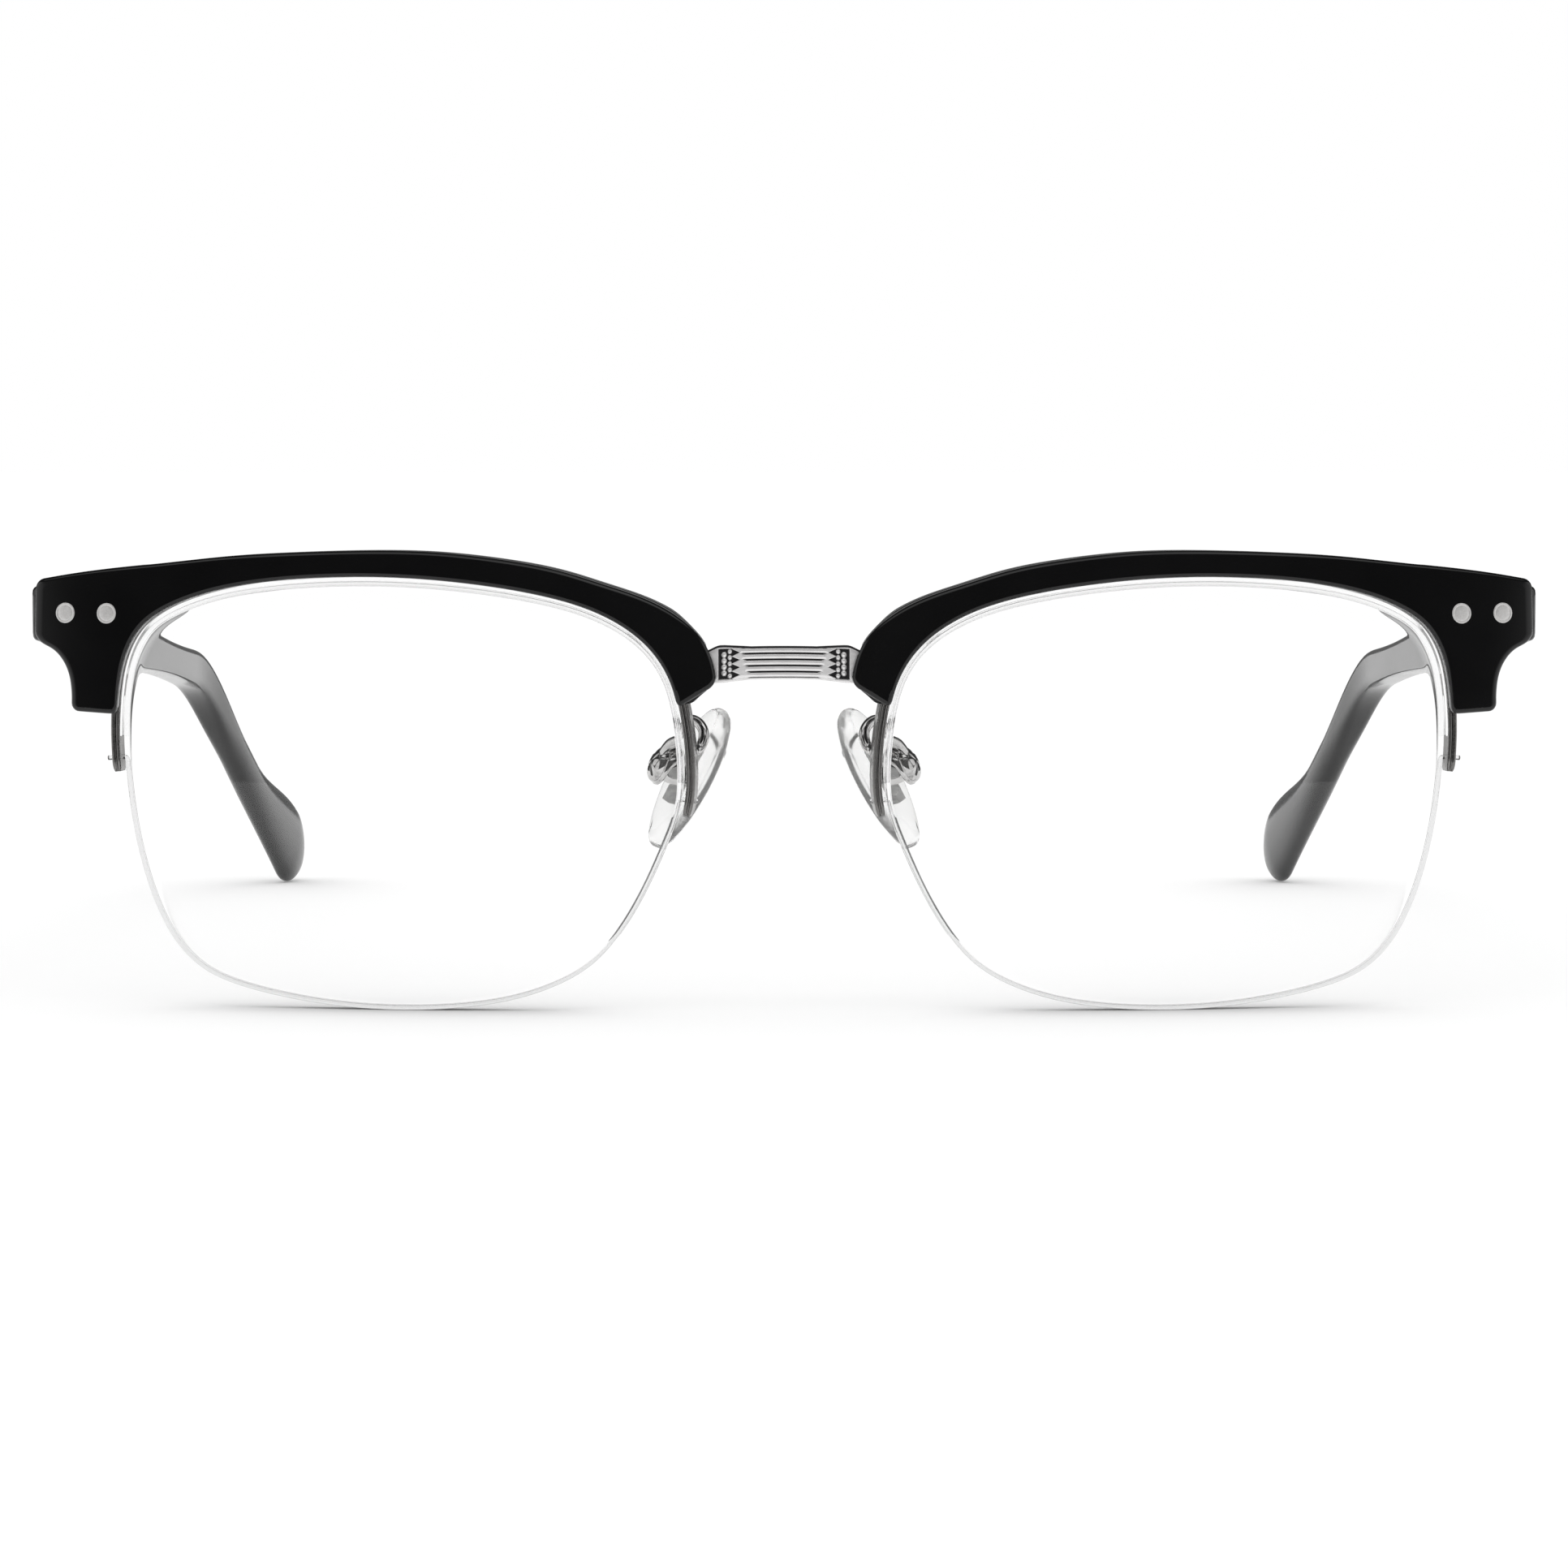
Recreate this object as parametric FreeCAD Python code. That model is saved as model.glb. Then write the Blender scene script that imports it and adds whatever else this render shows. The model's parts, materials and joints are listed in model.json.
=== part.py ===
"""Half rim eyeglasses: acetate brows on a metal upper rim, nylon cord below,
adjustable nose pads and two hinged temples.

Millimetres.  x runs across the face (+x is the wearer's left), the front faces
-y and the glasses stand on z = 0, on the lens bottoms and the temple tips.
Pieces of one eye are drawn in an eye frame: x towards the temple, y to the
back, z up, with the lens front's apex at its origin.  The right side is the
left side mirrored.
"""
import FreeCAD
import Part
import math
import os

V = FreeCAD.Vector
os.makedirs("parts", exist_ok=True)

# ------------------------------------------------------------ overall sizes
LENS_WIDTH = 52.0            # box width of one lens
LENS_HEIGHT = 39.4           # box height of one lens
NOSE_GAP = 18.8              # between the two lenses
TEMPLE_LENGTH = 140.0        # hinge axis to tip end, along the temple
BASE_RADIUS = 130.0          # radius of the lens front
WRAP = 6.0                   # degrees each lens turns back at its outer side

# ------------------------------------------------------------ lens and rim
LENS_THICK = 2.0
GROOVE_WIDTH = 0.5
GROOVE_DEPTH = 0.5
LINER_THICK = 0.45           # nylon strip between lens edge and rim
LINER_WIDTH = 1.6            # front to back
RIM_THICK = 0.8              # radial
RIM_FRONT = -0.2             # depth behind the lens front
RIM_END_TEMPLE = 0.107       # heights of the bare ends, in half lens heights
RIM_END_NOSE = -0.076
LINER_END_TEMPLE = 0.269
LINER_END_NOSE = 0.066
CORD_RADIUS = 0.22
CORD_HOLE_TEMPLE = 0.172
CORD_HOLE_NOSE = -0.012
CORD_HOLE_RADIUS = 0.27
CORD_STUB = 0.6              # cut end that stands out of the rim
SEAT_GAP = 0.05              # between seated pieces

# ------------------------------------------------------------ brow
BROW_FRONT = -1.6            # depth behind the lens front
BROW_BACK = 2.4              # the rim's back is flush with it
END_REACH = 8.7              # end piece beyond the lens, along the front
SIDE_PROUD = 0.458           # temple's outer face beyond the end piece
END_TOP_DROP = 0.05          # end piece's top corner above the lens box
END_HEIGHT = 5.5             # height of the end piece's outer side
FOOT_REACH = 4.9             # foot's width beyond the lens
FOOT_DROP = 12.35            # foot's bottom below the lens top
NOSE_REACH = 3.2             # brow's nose end beyond the lens
NOSE_DROP = 8.6              # widest point of the nose end below the lens top
BROW_RISE = 2.86             # brow's top above the lens top

# ------------------------------------------------------------ lugs and screws
LUG_THICK = 0.8
LUG_GAP = 0.02
LUG_WIDTH = 2.0
LUG_REACH = 2.9              # screw's distance from the lens edge
LUG_NOSE_DROP = 5.1          # on the lens edge, below the lens top
LUG_TEMPLE_DROP = 9.85
BROW_SCREW_RADIUS = 0.5
BROW_SCREW_DEPTH = 2.4
BROW_SCREW_HEAD = 0.85
BROW_SCREW_HEAD_HIGH = 0.45

# ------------------------------------------------------------ bridge
BRIDGE_HEIGHT = 3.0
BRIDGE_FLARE = 0.2           # extra half height at the ends
BRIDGE_THICK = 1.7
BRIDGE_DROP = 7.35           # its centre below the lens top
BRIDGE_BOW = 0.45            # centre stands this far in front of the ends
BRIDGE_BACK = 1.15           # y of the ends' centre
RIB_GROOVES = 5
RIB_PITCH = 0.55
RIB_GROOVE_RADIUS = 0.17
RIB_END = 1.3                # plain band between ribs and spikes
SPIKE_LENGTH = 1.2
SPIKE_END = 3.5              # pocket's outer side from the lens edge
SPIKE_DEPTH = 0.3

# ------------------------------------------------------------ hinge
HINGE_BELOW = 0.5            # hinge centre below the end piece's middle
SEAT_INSET = 3.2             # seat's middle inside the end piece's outer side
HINGE_HEIGHT = 4.0
KNUCKLES = 5
KNUCKLE_GAP = 0.04
BARREL_RADIUS = 1.15
LEAF_THICK = 0.8
LEAF_PROUD = 0.4             # how far the temple leaf stands out of the temple
BARREL_OFF = 0.1             # web between barrel and leaf
FRONT_LEAF_EDGE = 0.47       # leaf beyond the inner rivet
FRONT_LEAF_OUT = 0.8         # along the seat, from its middle
TEMPLE_LEAF_LENGTH = 9.5
TEMPLE_LEAF_EDGE = 0.06      # leaf above and below the pins
RIVET_RADIUS = 0.95
RIVET_OUTER_AT = -0.94       # along the seat, from its middle
RIVET_PITCH = 4.24
RIVET_PROUD = 0.05
HINGE_SCREW_RADIUS = 0.55
HINGE_SCREW_HEAD = 0.95
HINGE_SCREW_HEAD_HIGH = 0.45
HINGE_RUN = 0.04             # radial running clearance of the temple knuckles
SLOT_WIDTH = 0.25
SLOT_DEPTH = 0.2
PIN_RADIUS = 0.4
PIN_LENGTH = 2.3
PIN_FRONT_AT = 3.4           # behind the hinge axis
PIN_REAR_END = 2.5           # from the leaf's rear end
PIN_WIRE_GAP = 0.04          # between pin and core wire

# ------------------------------------------------------------ temple
TEMPLE_THICK = 3.4
TEMPLE_TIP_THICK = 3.0
TEMPLE_ROUND = 1.0
FACE_TRIM = 0.12             # planed off the outer face at the hinge
TIP_LENGTH = 46.7            # bend to end
TIP_DROP = 29.0              # degrees
BEND_LENGTH = 18.0
PADDLE_HEIGHT = 9.2
TEMPLE_HEIGHT = 5.2
WAIST_HEIGHT = 3.6           # behind the middle of the straight part
BEND_HEIGHT = 4.1
TEMPLE_GAP = 0.15            # between end piece and temple when open
TEMPLE_TAPER = 2.1           # degrees the temple runs inward
TIP_TOE = 8.6                # degrees more behind the bend
WIRE_THICK = 0.9
WIRE_HEIGHT = 1.8

# ------------------------------------------------------------ nose pads
PAD_LENGTH = 14.3
PAD_WIDTH = 8.0
PAD_THICK = 2.5
PAD_TILT = 27.0              # top leans to the nose, in front view
PAD_SPLAY = 20.0             # rear edge outward, in top view
PAD_X_IN = 0.67              # pad centre, nose side of the lens edge
PAD_Y = 9.0
PAD_Z = 1.15                 # above the lens centre
PLATE_LENGTH = 5.8
PLATE_WIDTH = 3.5
PLATE_THICK = 0.4
TAB_THICK = 0.8
TAB_HALF = 0.75
PAD_SCREW_OFF = 0.8          # behind the pad's lens-side face
PAD_SCREW_RADIUS = 0.40
PAD_RUN = 0.05               # radial running clearance
BOX_LENGTH = 2.4
BOX_EAR = 0.5
BOX_PLAY = 0.06
BOX_WALL = 0.35
ARM_RADIUS = 0.5
PAD_SCREW_AT = PAD_THICK / 2 + PAD_SCREW_OFF

HALF_W = LENS_WIDTH / 2
HALF_H = LENS_HEIGHT / 2
EDGE_DEPTH = BASE_RADIUS - math.sqrt(BASE_RADIUS ** 2 - HALF_W ** 2)
COS_WRAP = math.cos(math.radians(WRAP))
SIN_WRAP = math.sin(math.radians(WRAP))
EYE_X = NOSE_GAP / 2 + HALF_W * COS_WRAP + EDGE_DEPTH * SIN_WRAP
EYE_Z = HALF_H
RIM_IN = LINER_THICK
RIM_OUT = LINER_THICK + RIM_THICK
RIM_BACK = BROW_BACK
OVERALL_WIDTH = 2 * (EYE_X + (HALF_W + END_REACH) * COS_WRAP + SIDE_PROUD)
HINGE_Z = LENS_HEIGHT + END_TOP_DROP - END_HEIGHT / 2 - HINGE_BELOW
SEAT_REACH = END_REACH - SEAT_INSET
SPIKE_OUT = NOSE_GAP / 2 - SPIKE_END
SPIKE_IN = SPIKE_OUT - SPIKE_LENGTH
RIB_HALF_LENGTH = SPIKE_IN - RIB_END
FRONT_LEAF_IN = RIVET_PITCH - RIVET_OUTER_AT + RIVET_RADIUS + FRONT_LEAF_EDGE
PIN_RISE = WIRE_HEIGHT / 2 + PIN_RADIUS + PIN_WIRE_GAP
TEMPLE_LEAF_HEIGHT = 2 * (PIN_RISE + PIN_RADIUS + TEMPLE_LEAF_EDGE)
PIN_PLACES = (PIN_FRONT_AT, TEMPLE_LEAF_LENGTH - PIN_REAR_END)

# Lens outline in half widths and half heights, from the temple side over
# the top to the nose and back along the bottom.
LENS_SHAPE = [
    (1.000, 0.340), (0.990, 0.520), (0.957, 0.680), (0.905, 0.780),
    (0.830, 0.848), (0.730, 0.903), (0.600, 0.948), (0.450, 0.978),
    (0.270, 0.996), (0.070, 1.000), (-0.100, 0.990), (-0.316, 0.960),
    (-0.530, 0.909), (-0.665, 0.856), (-0.785, 0.778), (-0.880, 0.674),
    (-0.945, 0.540), (-0.983, 0.350), (-1.000, 0.130), (-0.990, -0.050),
    (-0.950, -0.205), (-0.885, -0.400), (-0.790, -0.620), (-0.680, -0.785),
    (-0.550, -0.885), (-0.400, -0.950), (-0.200, -0.990), (0.000, -1.000),
    (0.200, -0.988), (0.400, -0.952), (0.580, -0.897), (0.710, -0.825),
    (0.800, -0.720), (0.868, -0.575), (0.922, -0.390), (0.963, -0.170),
    (0.990, 0.080),
]


def closed_curve(points):
    """Closed smooth curve through the points."""
    curve = Part.BSplineCurve()
    curve.interpolate(Points=points, PeriodicFlag=True)
    return curve


def open_curve(points):
    """Open smooth curve through the points."""
    curve = Part.BSplineCurve()
    curve.interpolate(Points=points)
    return curve.toShape()


LENS_CURVE = closed_curve([V(HALF_W * u, 0, HALF_H * v) for u, v in LENS_SHAPE])


def edge_frame(t):
    """Point, tangent and outward normal on the lens outline, t from 0 to 1."""
    first, last = LENS_CURVE.FirstParameter, LENS_CURVE.LastParameter
    at = first + (t % 1.0) * (last - first)
    point = LENS_CURVE.value(at)
    tangent = LENS_CURVE.tangent(at)[0]
    return point, tangent, V(tangent.z, 0, -tangent.x)


def edge_at(side, height):
    """Parameter of the outline point at a height; side 1 temple, -1 nose."""
    best = None
    for i in range(4000):
        point = edge_frame(i / 4000.0)[0]
        if point.x * side > 0.3 * HALF_W:
            miss = abs(point.z - height * HALF_H)
            if best is None or miss < best[0]:
                best = (miss, i / 4000.0)
    return best[1]


def outline(offset, count=84):
    """Lens outline moved outward by an offset, as points."""
    points = []
    for i in range(count):
        point, tangent, normal = edge_frame(i / float(count))
        points.append(point + normal * offset)
    return points


def extruded(wire, front=-14.0, back=34.0):
    """Solid from a flat outline in the xz plane, run along y."""
    face = Part.Face(wire)
    face.translate(V(0, front, 0))
    return face.extrude(V(0, back - front, 0))


PRISMS = {}


def prism(offset):
    """Column inside the lens outline moved outward by an offset."""
    if offset not in PRISMS:
        wire = Part.Wire([closed_curve(outline(offset)).toShape()])
        PRISMS[offset] = extruded(wire)
    return PRISMS[offset].copy()


def ball(depth):
    """Ball whose front lies a depth behind the lens front."""
    return Part.makeSphere(BASE_RADIUS - depth, V(0, BASE_RADIUS, 0))


def between(column, front, back):
    """The part of a column between two depths behind the lens front."""
    return column.common(ball(front)).cut(ball(back))


def on_ball(x, z, depth):
    """Eye frame point at x, z on the surface at a depth."""
    r = BASE_RADIUS - depth
    return V(x, BASE_RADIUS - math.sqrt(r * r - x * x - z * z), z)


def to_world(shape):
    """Eye frame to world frame."""
    moved = shape.copy()
    moved.rotate(V(0, 0, 0), V(0, 0, 1), WRAP)
    moved.translate(V(EYE_X, 0, EYE_Z))
    return moved


def world_point(p):
    """Eye frame point in the world frame."""
    x = EYE_X + p.x * COS_WRAP - p.y * SIN_WRAP
    y = p.x * SIN_WRAP + p.y * COS_WRAP
    return V(x, y, EYE_Z + p.z)


def above_line(temple_height, nose_height):
    """Column above a sloping line; heights in half lens heights."""
    rise = (temple_height - nose_height) * HALF_H / LENS_WIDTH
    middle = (temple_height + nose_height) * HALF_H / 2
    far = 2 * LENS_WIDTH
    corners = [
        V(far, 0, middle + rise * far),
        V(far, 0, 2 * LENS_HEIGHT),
        V(-far, 0, 2 * LENS_HEIGHT),
        V(-far, 0, middle - rise * far),
    ]
    return extruded(Part.makePolygon(corners + corners[:1]))


def rod(start, end, radius):
    """Cylinder between two points."""
    run = end.sub(start)
    return Part.makeCylinder(radius, run.Length, start, run)


def single(shape):
    """The one solid of a result, without the seams a fuse leaves."""
    clean = shape.removeSplitter()
    solids = sorted(clean.Solids, key=lambda s: s.Volume)
    return solids[-1]


# ------------------------------------------------------------ lens and rim
def make_lens():
    """Lens with its edge groove."""
    body = between(prism(0.0), 0.0, LENS_THICK)
    mid = LENS_THICK / 2
    ring = prism(1.0).cut(prism(-GROOVE_DEPTH))
    groove = between(ring, mid - GROOVE_WIDTH / 2, mid + GROOVE_WIDTH / 2)
    return body.cut(groove)


def make_liner():
    """Nylon strip of T section, tongue in the lens groove."""
    mid = LENS_THICK / 2
    strip = prism(LINER_THICK - SEAT_GAP).cut(prism(SEAT_GAP))
    strip = between(strip, mid - LINER_WIDTH / 2, mid + LINER_WIDTH / 2)
    half = GROOVE_WIDTH / 2 - SEAT_GAP
    tongue = prism(LINER_THICK / 2).cut(prism(SEAT_GAP - GROOVE_DEPTH))
    tongue = between(tongue, mid - half, mid + half)
    sector = above_line(LINER_END_TEMPLE, LINER_END_NOSE)
    return single(strip.fuse(tongue).common(sector))


def cord_ends():
    """The two outline parameters where the cord passes the rim."""
    return edge_at(1, CORD_HOLE_TEMPLE), edge_at(-1, CORD_HOLE_NOSE)


def cord_line(t, start, end):
    """Straight run through the rim, across the lens edge at parameter t."""
    point, tangent, normal = edge_frame(t)
    a = point + normal * start
    b = point + normal * end
    mid = LENS_THICK / 2
    return on_ball(a.x, a.z, mid), on_ball(b.x, b.z, mid)


def make_rim():
    """Metal upper rim with the two cord holes."""
    ring = prism(RIM_OUT).cut(prism(RIM_IN))
    ring = between(ring, RIM_FRONT, RIM_BACK)
    rim = ring.common(above_line(RIM_END_TEMPLE, RIM_END_NOSE))
    for t in cord_ends():
        a, b = cord_line(t, -0.1, RIM_OUT + 1.0)
        rim = rim.cut(rod(a, b, CORD_HOLE_RADIUS))
    return single(rim)


def make_cord():
    """Nylon cord in the lower groove, with both ends through the rim."""
    t_out, t_in = cord_ends()
    seat = CORD_RADIUS + 0.02
    bend = 0.40
    mid = LENS_THICK / 2
    pieces = []
    starts = []
    for t, sign, stub in ((t_out, -1, CORD_STUB), (t_in, 1, 0.25)):
        point, tangent, normal = edge_frame(t)
        along = tangent * sign
        foot = point - normal * seat
        a = foot + normal * bend
        corner = foot + (normal + along) * bend
        m = corner - (normal + along) * (bend * math.sqrt(0.5))
        b = foot + along * bend
        far = point + normal * (RIM_OUT + stub)
        pts = [on_ball(p.x, p.z, mid) for p in (far, a, m, b)]
        pieces.append(pts)
        starts.append(b)
    curve_points = []
    steps = 64
    span = (t_out - t_in) % 1.0
    length = LENS_CURVE.length()
    trim = bend / length
    for i in range(steps + 1):
        t = t_out - trim - (span - 2 * trim) * i / steps
        point, tangent, normal = edge_frame(t)
        p = point - normal * seat
        if i == 0:
            p = starts[0]
        if i == steps:
            p = starts[1]
        curve_points.append(on_ball(p.x, p.z, mid))
    far, a, m, b = pieces[0]
    edges = [Part.LineSegment(far, a).toShape(), Part.Arc(a, m, b).toShape()]
    edges.append(open_curve(curve_points))
    far2, a2, m2, b2 = pieces[1]
    edges.append(Part.Arc(b2, m2, a2).toShape())
    edges.append(Part.LineSegment(a2, far2).toShape())
    path = Part.Wire(edges)
    ring = Part.Wire([Part.makeCircle(CORD_RADIUS, far, a.sub(far))])
    return path.makePipeShell([ring], True, False)


# ------------------------------------------------------------ brow
def brow_outline():
    """Flat outline of brow, end piece and foot; its lens side is cut later."""
    top = HALF_H
    x1 = HALF_W + END_REACH
    z1 = top + END_TOP_DROP
    zf = top - FOOT_DROP
    xf = HALF_W + FOOT_REACH
    zs = z1 - END_HEIGHT
    xn = -HALF_W - NOSE_REACH
    zn = top - NOSE_DROP
    rise = BROW_RISE
    foot_corner = [V(xf - 0.85, 0, zf + 0.25), V(xf - 0.22, 0, zf + 0.50)]
    foot_corner.append(V(xf, 0, zf + 1.05))
    throat = [foot_corner[-1], V(xf + 0.04, 0, zf + 2.3)]
    throat.append(V(xf + 0.32, 0, zf + 3.75))
    throat.append(V((xf + x1) / 2 - 0.75, 0, zs - 1.65))
    throat.append(V((xf + x1) / 2 + 0.20, 0, zs - 0.85))
    throat.append(V(x1 - 0.62, 0, zs - 0.28))
    throat.append(V(x1 - 0.05, 0, zs + 0.42))
    side_top = V(x1, 0, z1 - 0.85)
    corner = [side_top, V(x1 - 0.22, 0, z1 - 0.22), V(x1 - 0.85, 0, z1 + 0.12)]
    over = [corner[-1], V(HALF_W + 3.5, 0, top + 0.86)]
    for u, part in ((0.86, 0.57), (0.62, 0.80), (0.38, 0.93), (0.13, 1.0)):
        over.append(V(HALF_W * u, 0, top + rise * part))
    for u, part in ((-0.12, 0.965), (-0.36, 0.74), (-0.58, 0.36)):
        over.append(V(HALF_W * u, 0, top + rise * part))
    over.append(V(-HALF_W + 7.1, 0, top - 0.15))
    over.append(V(-HALF_W + 2.9, 0, top - 1.65))
    over.append(V(-HALF_W - 0.3, 0, top - 3.55))
    over.append(V(-HALF_W - 1.85, 0, top - 5.05))
    over.append(V(-HALF_W - 2.68, 0, top - 6.5))
    over.append(V(xn + 0.02, 0, zn + 0.4))
    nose = [over[-1], V(xn + 0.03, 0, zn - 0.45), V(xn + 0.52, 0, zn - 1.10)]
    inner = [V(-HALF_W - 0.55, 0, top - 11.0), V(-HALF_W + 2.4, 0, top - 12.9)]
    start = V(HALF_W - 1.6, 0, zf - 0.05)
    edges = [
        Part.LineSegment(start, foot_corner[0]).toShape(),
        Part.Arc(*foot_corner).toShape(),
        open_curve(throat),
        Part.LineSegment(throat[-1], side_top).toShape(),
        Part.Arc(*corner).toShape(),
        open_curve(over),
        Part.Arc(*nose).toShape(),
        Part.LineSegment(nose[-1], inner[0]).toShape(),
        Part.LineSegment(inner[0], inner[1]).toShape(),
        Part.LineSegment(inner[1], start).toShape(),
    ]
    return Part.Wire(edges)


def lug_spot(side):
    """Eye frame edge point and normal of a lug; side 1 temple, -1 nose."""
    drop = LUG_TEMPLE_DROP if side > 0 else LUG_NOSE_DROP
    height = 1 - drop / HALF_H
    point, tangent, normal = edge_frame(edge_at(side, height))
    return point, tangent, normal


def lug_line(side, front, back):
    """Two points on the lug screw's axis, at two depths."""
    point, tangent, normal = lug_spot(side)
    seat = point + normal * LUG_REACH
    p = on_ball(seat.x, seat.z, RIM_BACK)
    inward = V(0, BASE_RADIUS, 0).sub(p)
    inward.normalize()
    return p + inward * (front - RIM_BACK), p + inward * (back - RIM_BACK)


def make_lug(side):
    """Tab soldered to the rim's back, with the screw's hole."""
    point, tangent, normal = lug_spot(side)
    half = LUG_WIDTH / 2
    near = point + normal * (RIM_IN + 0.1)
    seat = point + normal * LUG_REACH
    corners = [near + tangent * half, seat + tangent * half]
    corners += [seat - tangent * half, near - tangent * half]
    column = extruded(Part.makePolygon(corners + corners[:1]))
    round_end = Part.makeCylinder(half, 48, V(seat.x, -14, seat.z), V(0, 1, 0))
    front = RIM_BACK + LUG_GAP
    lug = between(column.fuse(round_end), front, front + LUG_THICK)
    a, b = lug_line(side, RIM_BACK - 1, RIM_BACK + LUG_THICK + 1)
    return single(lug.cut(rod(a, b, BROW_SCREW_RADIUS + SEAT_GAP)))


def make_brow_screw(side):
    """Small screw through a lug into the brow."""
    back = RIM_BACK + LUG_GAP + LUG_THICK
    tip, under = lug_line(side, RIM_BACK - BROW_SCREW_DEPTH, back + 0.02)
    top = lug_line(side, 0, back + 0.02 + BROW_SCREW_HEAD_HIGH)[1]
    head = rod(under, top, BROW_SCREW_HEAD)
    screw = rod(tip, top, BROW_SCREW_RADIUS).fuse(head)
    axis = top.sub(under)
    axis.normalize()
    slot = Part.makeBox(3.0, SLOT_WIDTH, 1.0, V(-1.5, -SLOT_WIDTH / 2, 0))
    turn = FreeCAD.Rotation(V(0, 0, 1), axis)
    slot.Placement = FreeCAD.Placement(top - axis * SLOT_DEPTH, turn)
    return single(screw.cut(slot))


def make_brow():
    """Brow with its rebate for the rim and the screws' holes (eye frame)."""
    brow = between(extruded(brow_outline()), BROW_FRONT, BROW_BACK)
    brow = brow.cut(prism(LINER_THICK))
    rebate = between(prism(RIM_OUT + SEAT_GAP), RIM_FRONT - SEAT_GAP, 6.0)
    brow = brow.cut(rebate)
    for side in (1, -1):
        a, b = lug_line(side, RIM_BACK - BROW_SCREW_DEPTH - 0.1, RIM_BACK + 1)
        brow = brow.cut(rod(a, b, BROW_SCREW_RADIUS + SEAT_GAP))
    return brow


# ------------------------------------------------------------ hinge frame
SEAT_EYE = on_ball(HALF_W + SEAT_REACH, HINGE_Z - HINGE_HEIGHT / 2 - EYE_Z, BROW_BACK)
SEAT = world_point(SEAT_EYE)
SEAT_TURN = WRAP + math.degrees(math.asin(SEAT_EYE.x / (BASE_RADIUS - BROW_BACK)))
COS_SEAT = math.cos(math.radians(SEAT_TURN))
SIN_SEAT = math.sin(math.radians(SEAT_TURN))
TEMPLE_IN = OVERALL_WIDTH / 2 - TEMPLE_THICK
AXIS_X = TEMPLE_IN - LEAF_PROUD - BARREL_OFF - BARREL_RADIUS
AXIS_H = LEAF_THICK + BARREL_OFF + BARREL_RADIUS
AXIS_S = (AXIS_X - SEAT.x + AXIS_H * SIN_SEAT) / COS_SEAT
AXIS_Y = SEAT.y + AXIS_S * SIN_SEAT + AXIS_H * COS_SEAT
KNUCKLE = (HINGE_HEIGHT - (KNUCKLES - 1) * KNUCKLE_GAP) / KNUCKLES


def seat_point(s, h, z):
    """World point s along the hinge seat and h behind it."""
    x = SEAT.x + s * COS_SEAT - h * SIN_SEAT
    y = SEAT.y + s * SIN_SEAT + h * COS_SEAT
    return V(x, y, z)


def seat_block(s0, s1, h0, h1, z0, z1):
    """Block in seat coordinates."""
    corners = [seat_point(s0, h0, z0), seat_point(s1, h0, z0)]
    corners += [seat_point(s1, h1, z0), seat_point(s0, h1, z0)]
    face = Part.Face(Part.makePolygon(corners + corners[:1]))
    return face.extrude(V(0, 0, z1 - z0))


def knuckle_span(i):
    """Lowest and highest z of knuckle i, counted from below."""
    z0 = HINGE_Z - HINGE_HEIGHT / 2 + i * (KNUCKLE + KNUCKLE_GAP)
    return z0, z0 + KNUCKLE


def make_front_leaf():
    """Hinge leaf on the end piece with three knuckles."""
    z0 = HINGE_Z - HINGE_HEIGHT / 2
    z1 = HINGE_Z + HINGE_HEIGHT / 2
    leaf = seat_block(-FRONT_LEAF_IN, FRONT_LEAF_OUT, 0.02, LEAF_THICK, z0, z1)
    for i in range(0, KNUCKLES, 2):
        a, b = knuckle_span(i)
        barrel = Part.makeCylinder(BARREL_RADIUS, b - a, V(AXIS_X, AXIS_Y, a))
        web = seat_block(AXIS_S - 0.62, AXIS_S + 0.62, 0.5, AXIS_H, a, b)
        leaf = leaf.fuse(barrel).fuse(web)
    hole = HINGE_SCREW_RADIUS + SEAT_GAP
    bore = Part.makeCylinder(hole, HINGE_HEIGHT + 2, V(AXIS_X, AXIS_Y, z0 - 1))
    leaf = leaf.cut(bore)
    for at in rivet_places():
        leaf = leaf.cut(rivet_rod(at, RIVET_RADIUS + SEAT_GAP, 0.5))
    return single(leaf.cut(to_world(prism(RIM_OUT + 2 * SEAT_GAP))))


def rivet_places():
    """Positions of the two rivets along the seat."""
    return [RIVET_OUTER_AT, RIVET_OUTER_AT - RIVET_PITCH]


def rivet_rod(at, radius, extra):
    """Rivet axis cylinder, from well in front to the leaf's back."""
    a = seat_point(at, -7.0, HINGE_Z + 0.2)
    b = seat_point(at, LEAF_THICK + extra, HINGE_Z + 0.2)
    return rod(a, b, radius)


def make_rivet(at):
    """Rivet through end piece and leaf, its head just proud of the brow."""
    body = rivet_rod(at, RIVET_RADIUS, -0.02)
    return body.common(to_world(ball(BROW_FRONT - RIVET_PROUD)))


def make_hinge_screw():
    """Screw that is the hinge's axle."""
    z0 = HINGE_Z - HINGE_HEIGHT / 2
    z1 = HINGE_Z + HINGE_HEIGHT / 2
    base = V(AXIS_X, AXIS_Y, z0 - 0.2)
    shank = Part.makeCylinder(HINGE_SCREW_RADIUS, z1 - z0 + 0.4, base)
    top = V(AXIS_X, AXIS_Y, z1 + 0.02)
    head = Part.makeCylinder(HINGE_SCREW_HEAD, HINGE_SCREW_HEAD_HIGH, top)
    floor = top.z + HINGE_SCREW_HEAD_HIGH - SLOT_DEPTH
    corner = V(AXIS_X - 2, AXIS_Y - SLOT_WIDTH / 2, floor)
    slot = Part.makeBox(4, SLOT_WIDTH, 1, corner)
    return single(shank.fuse(head).cut(slot))


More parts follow.
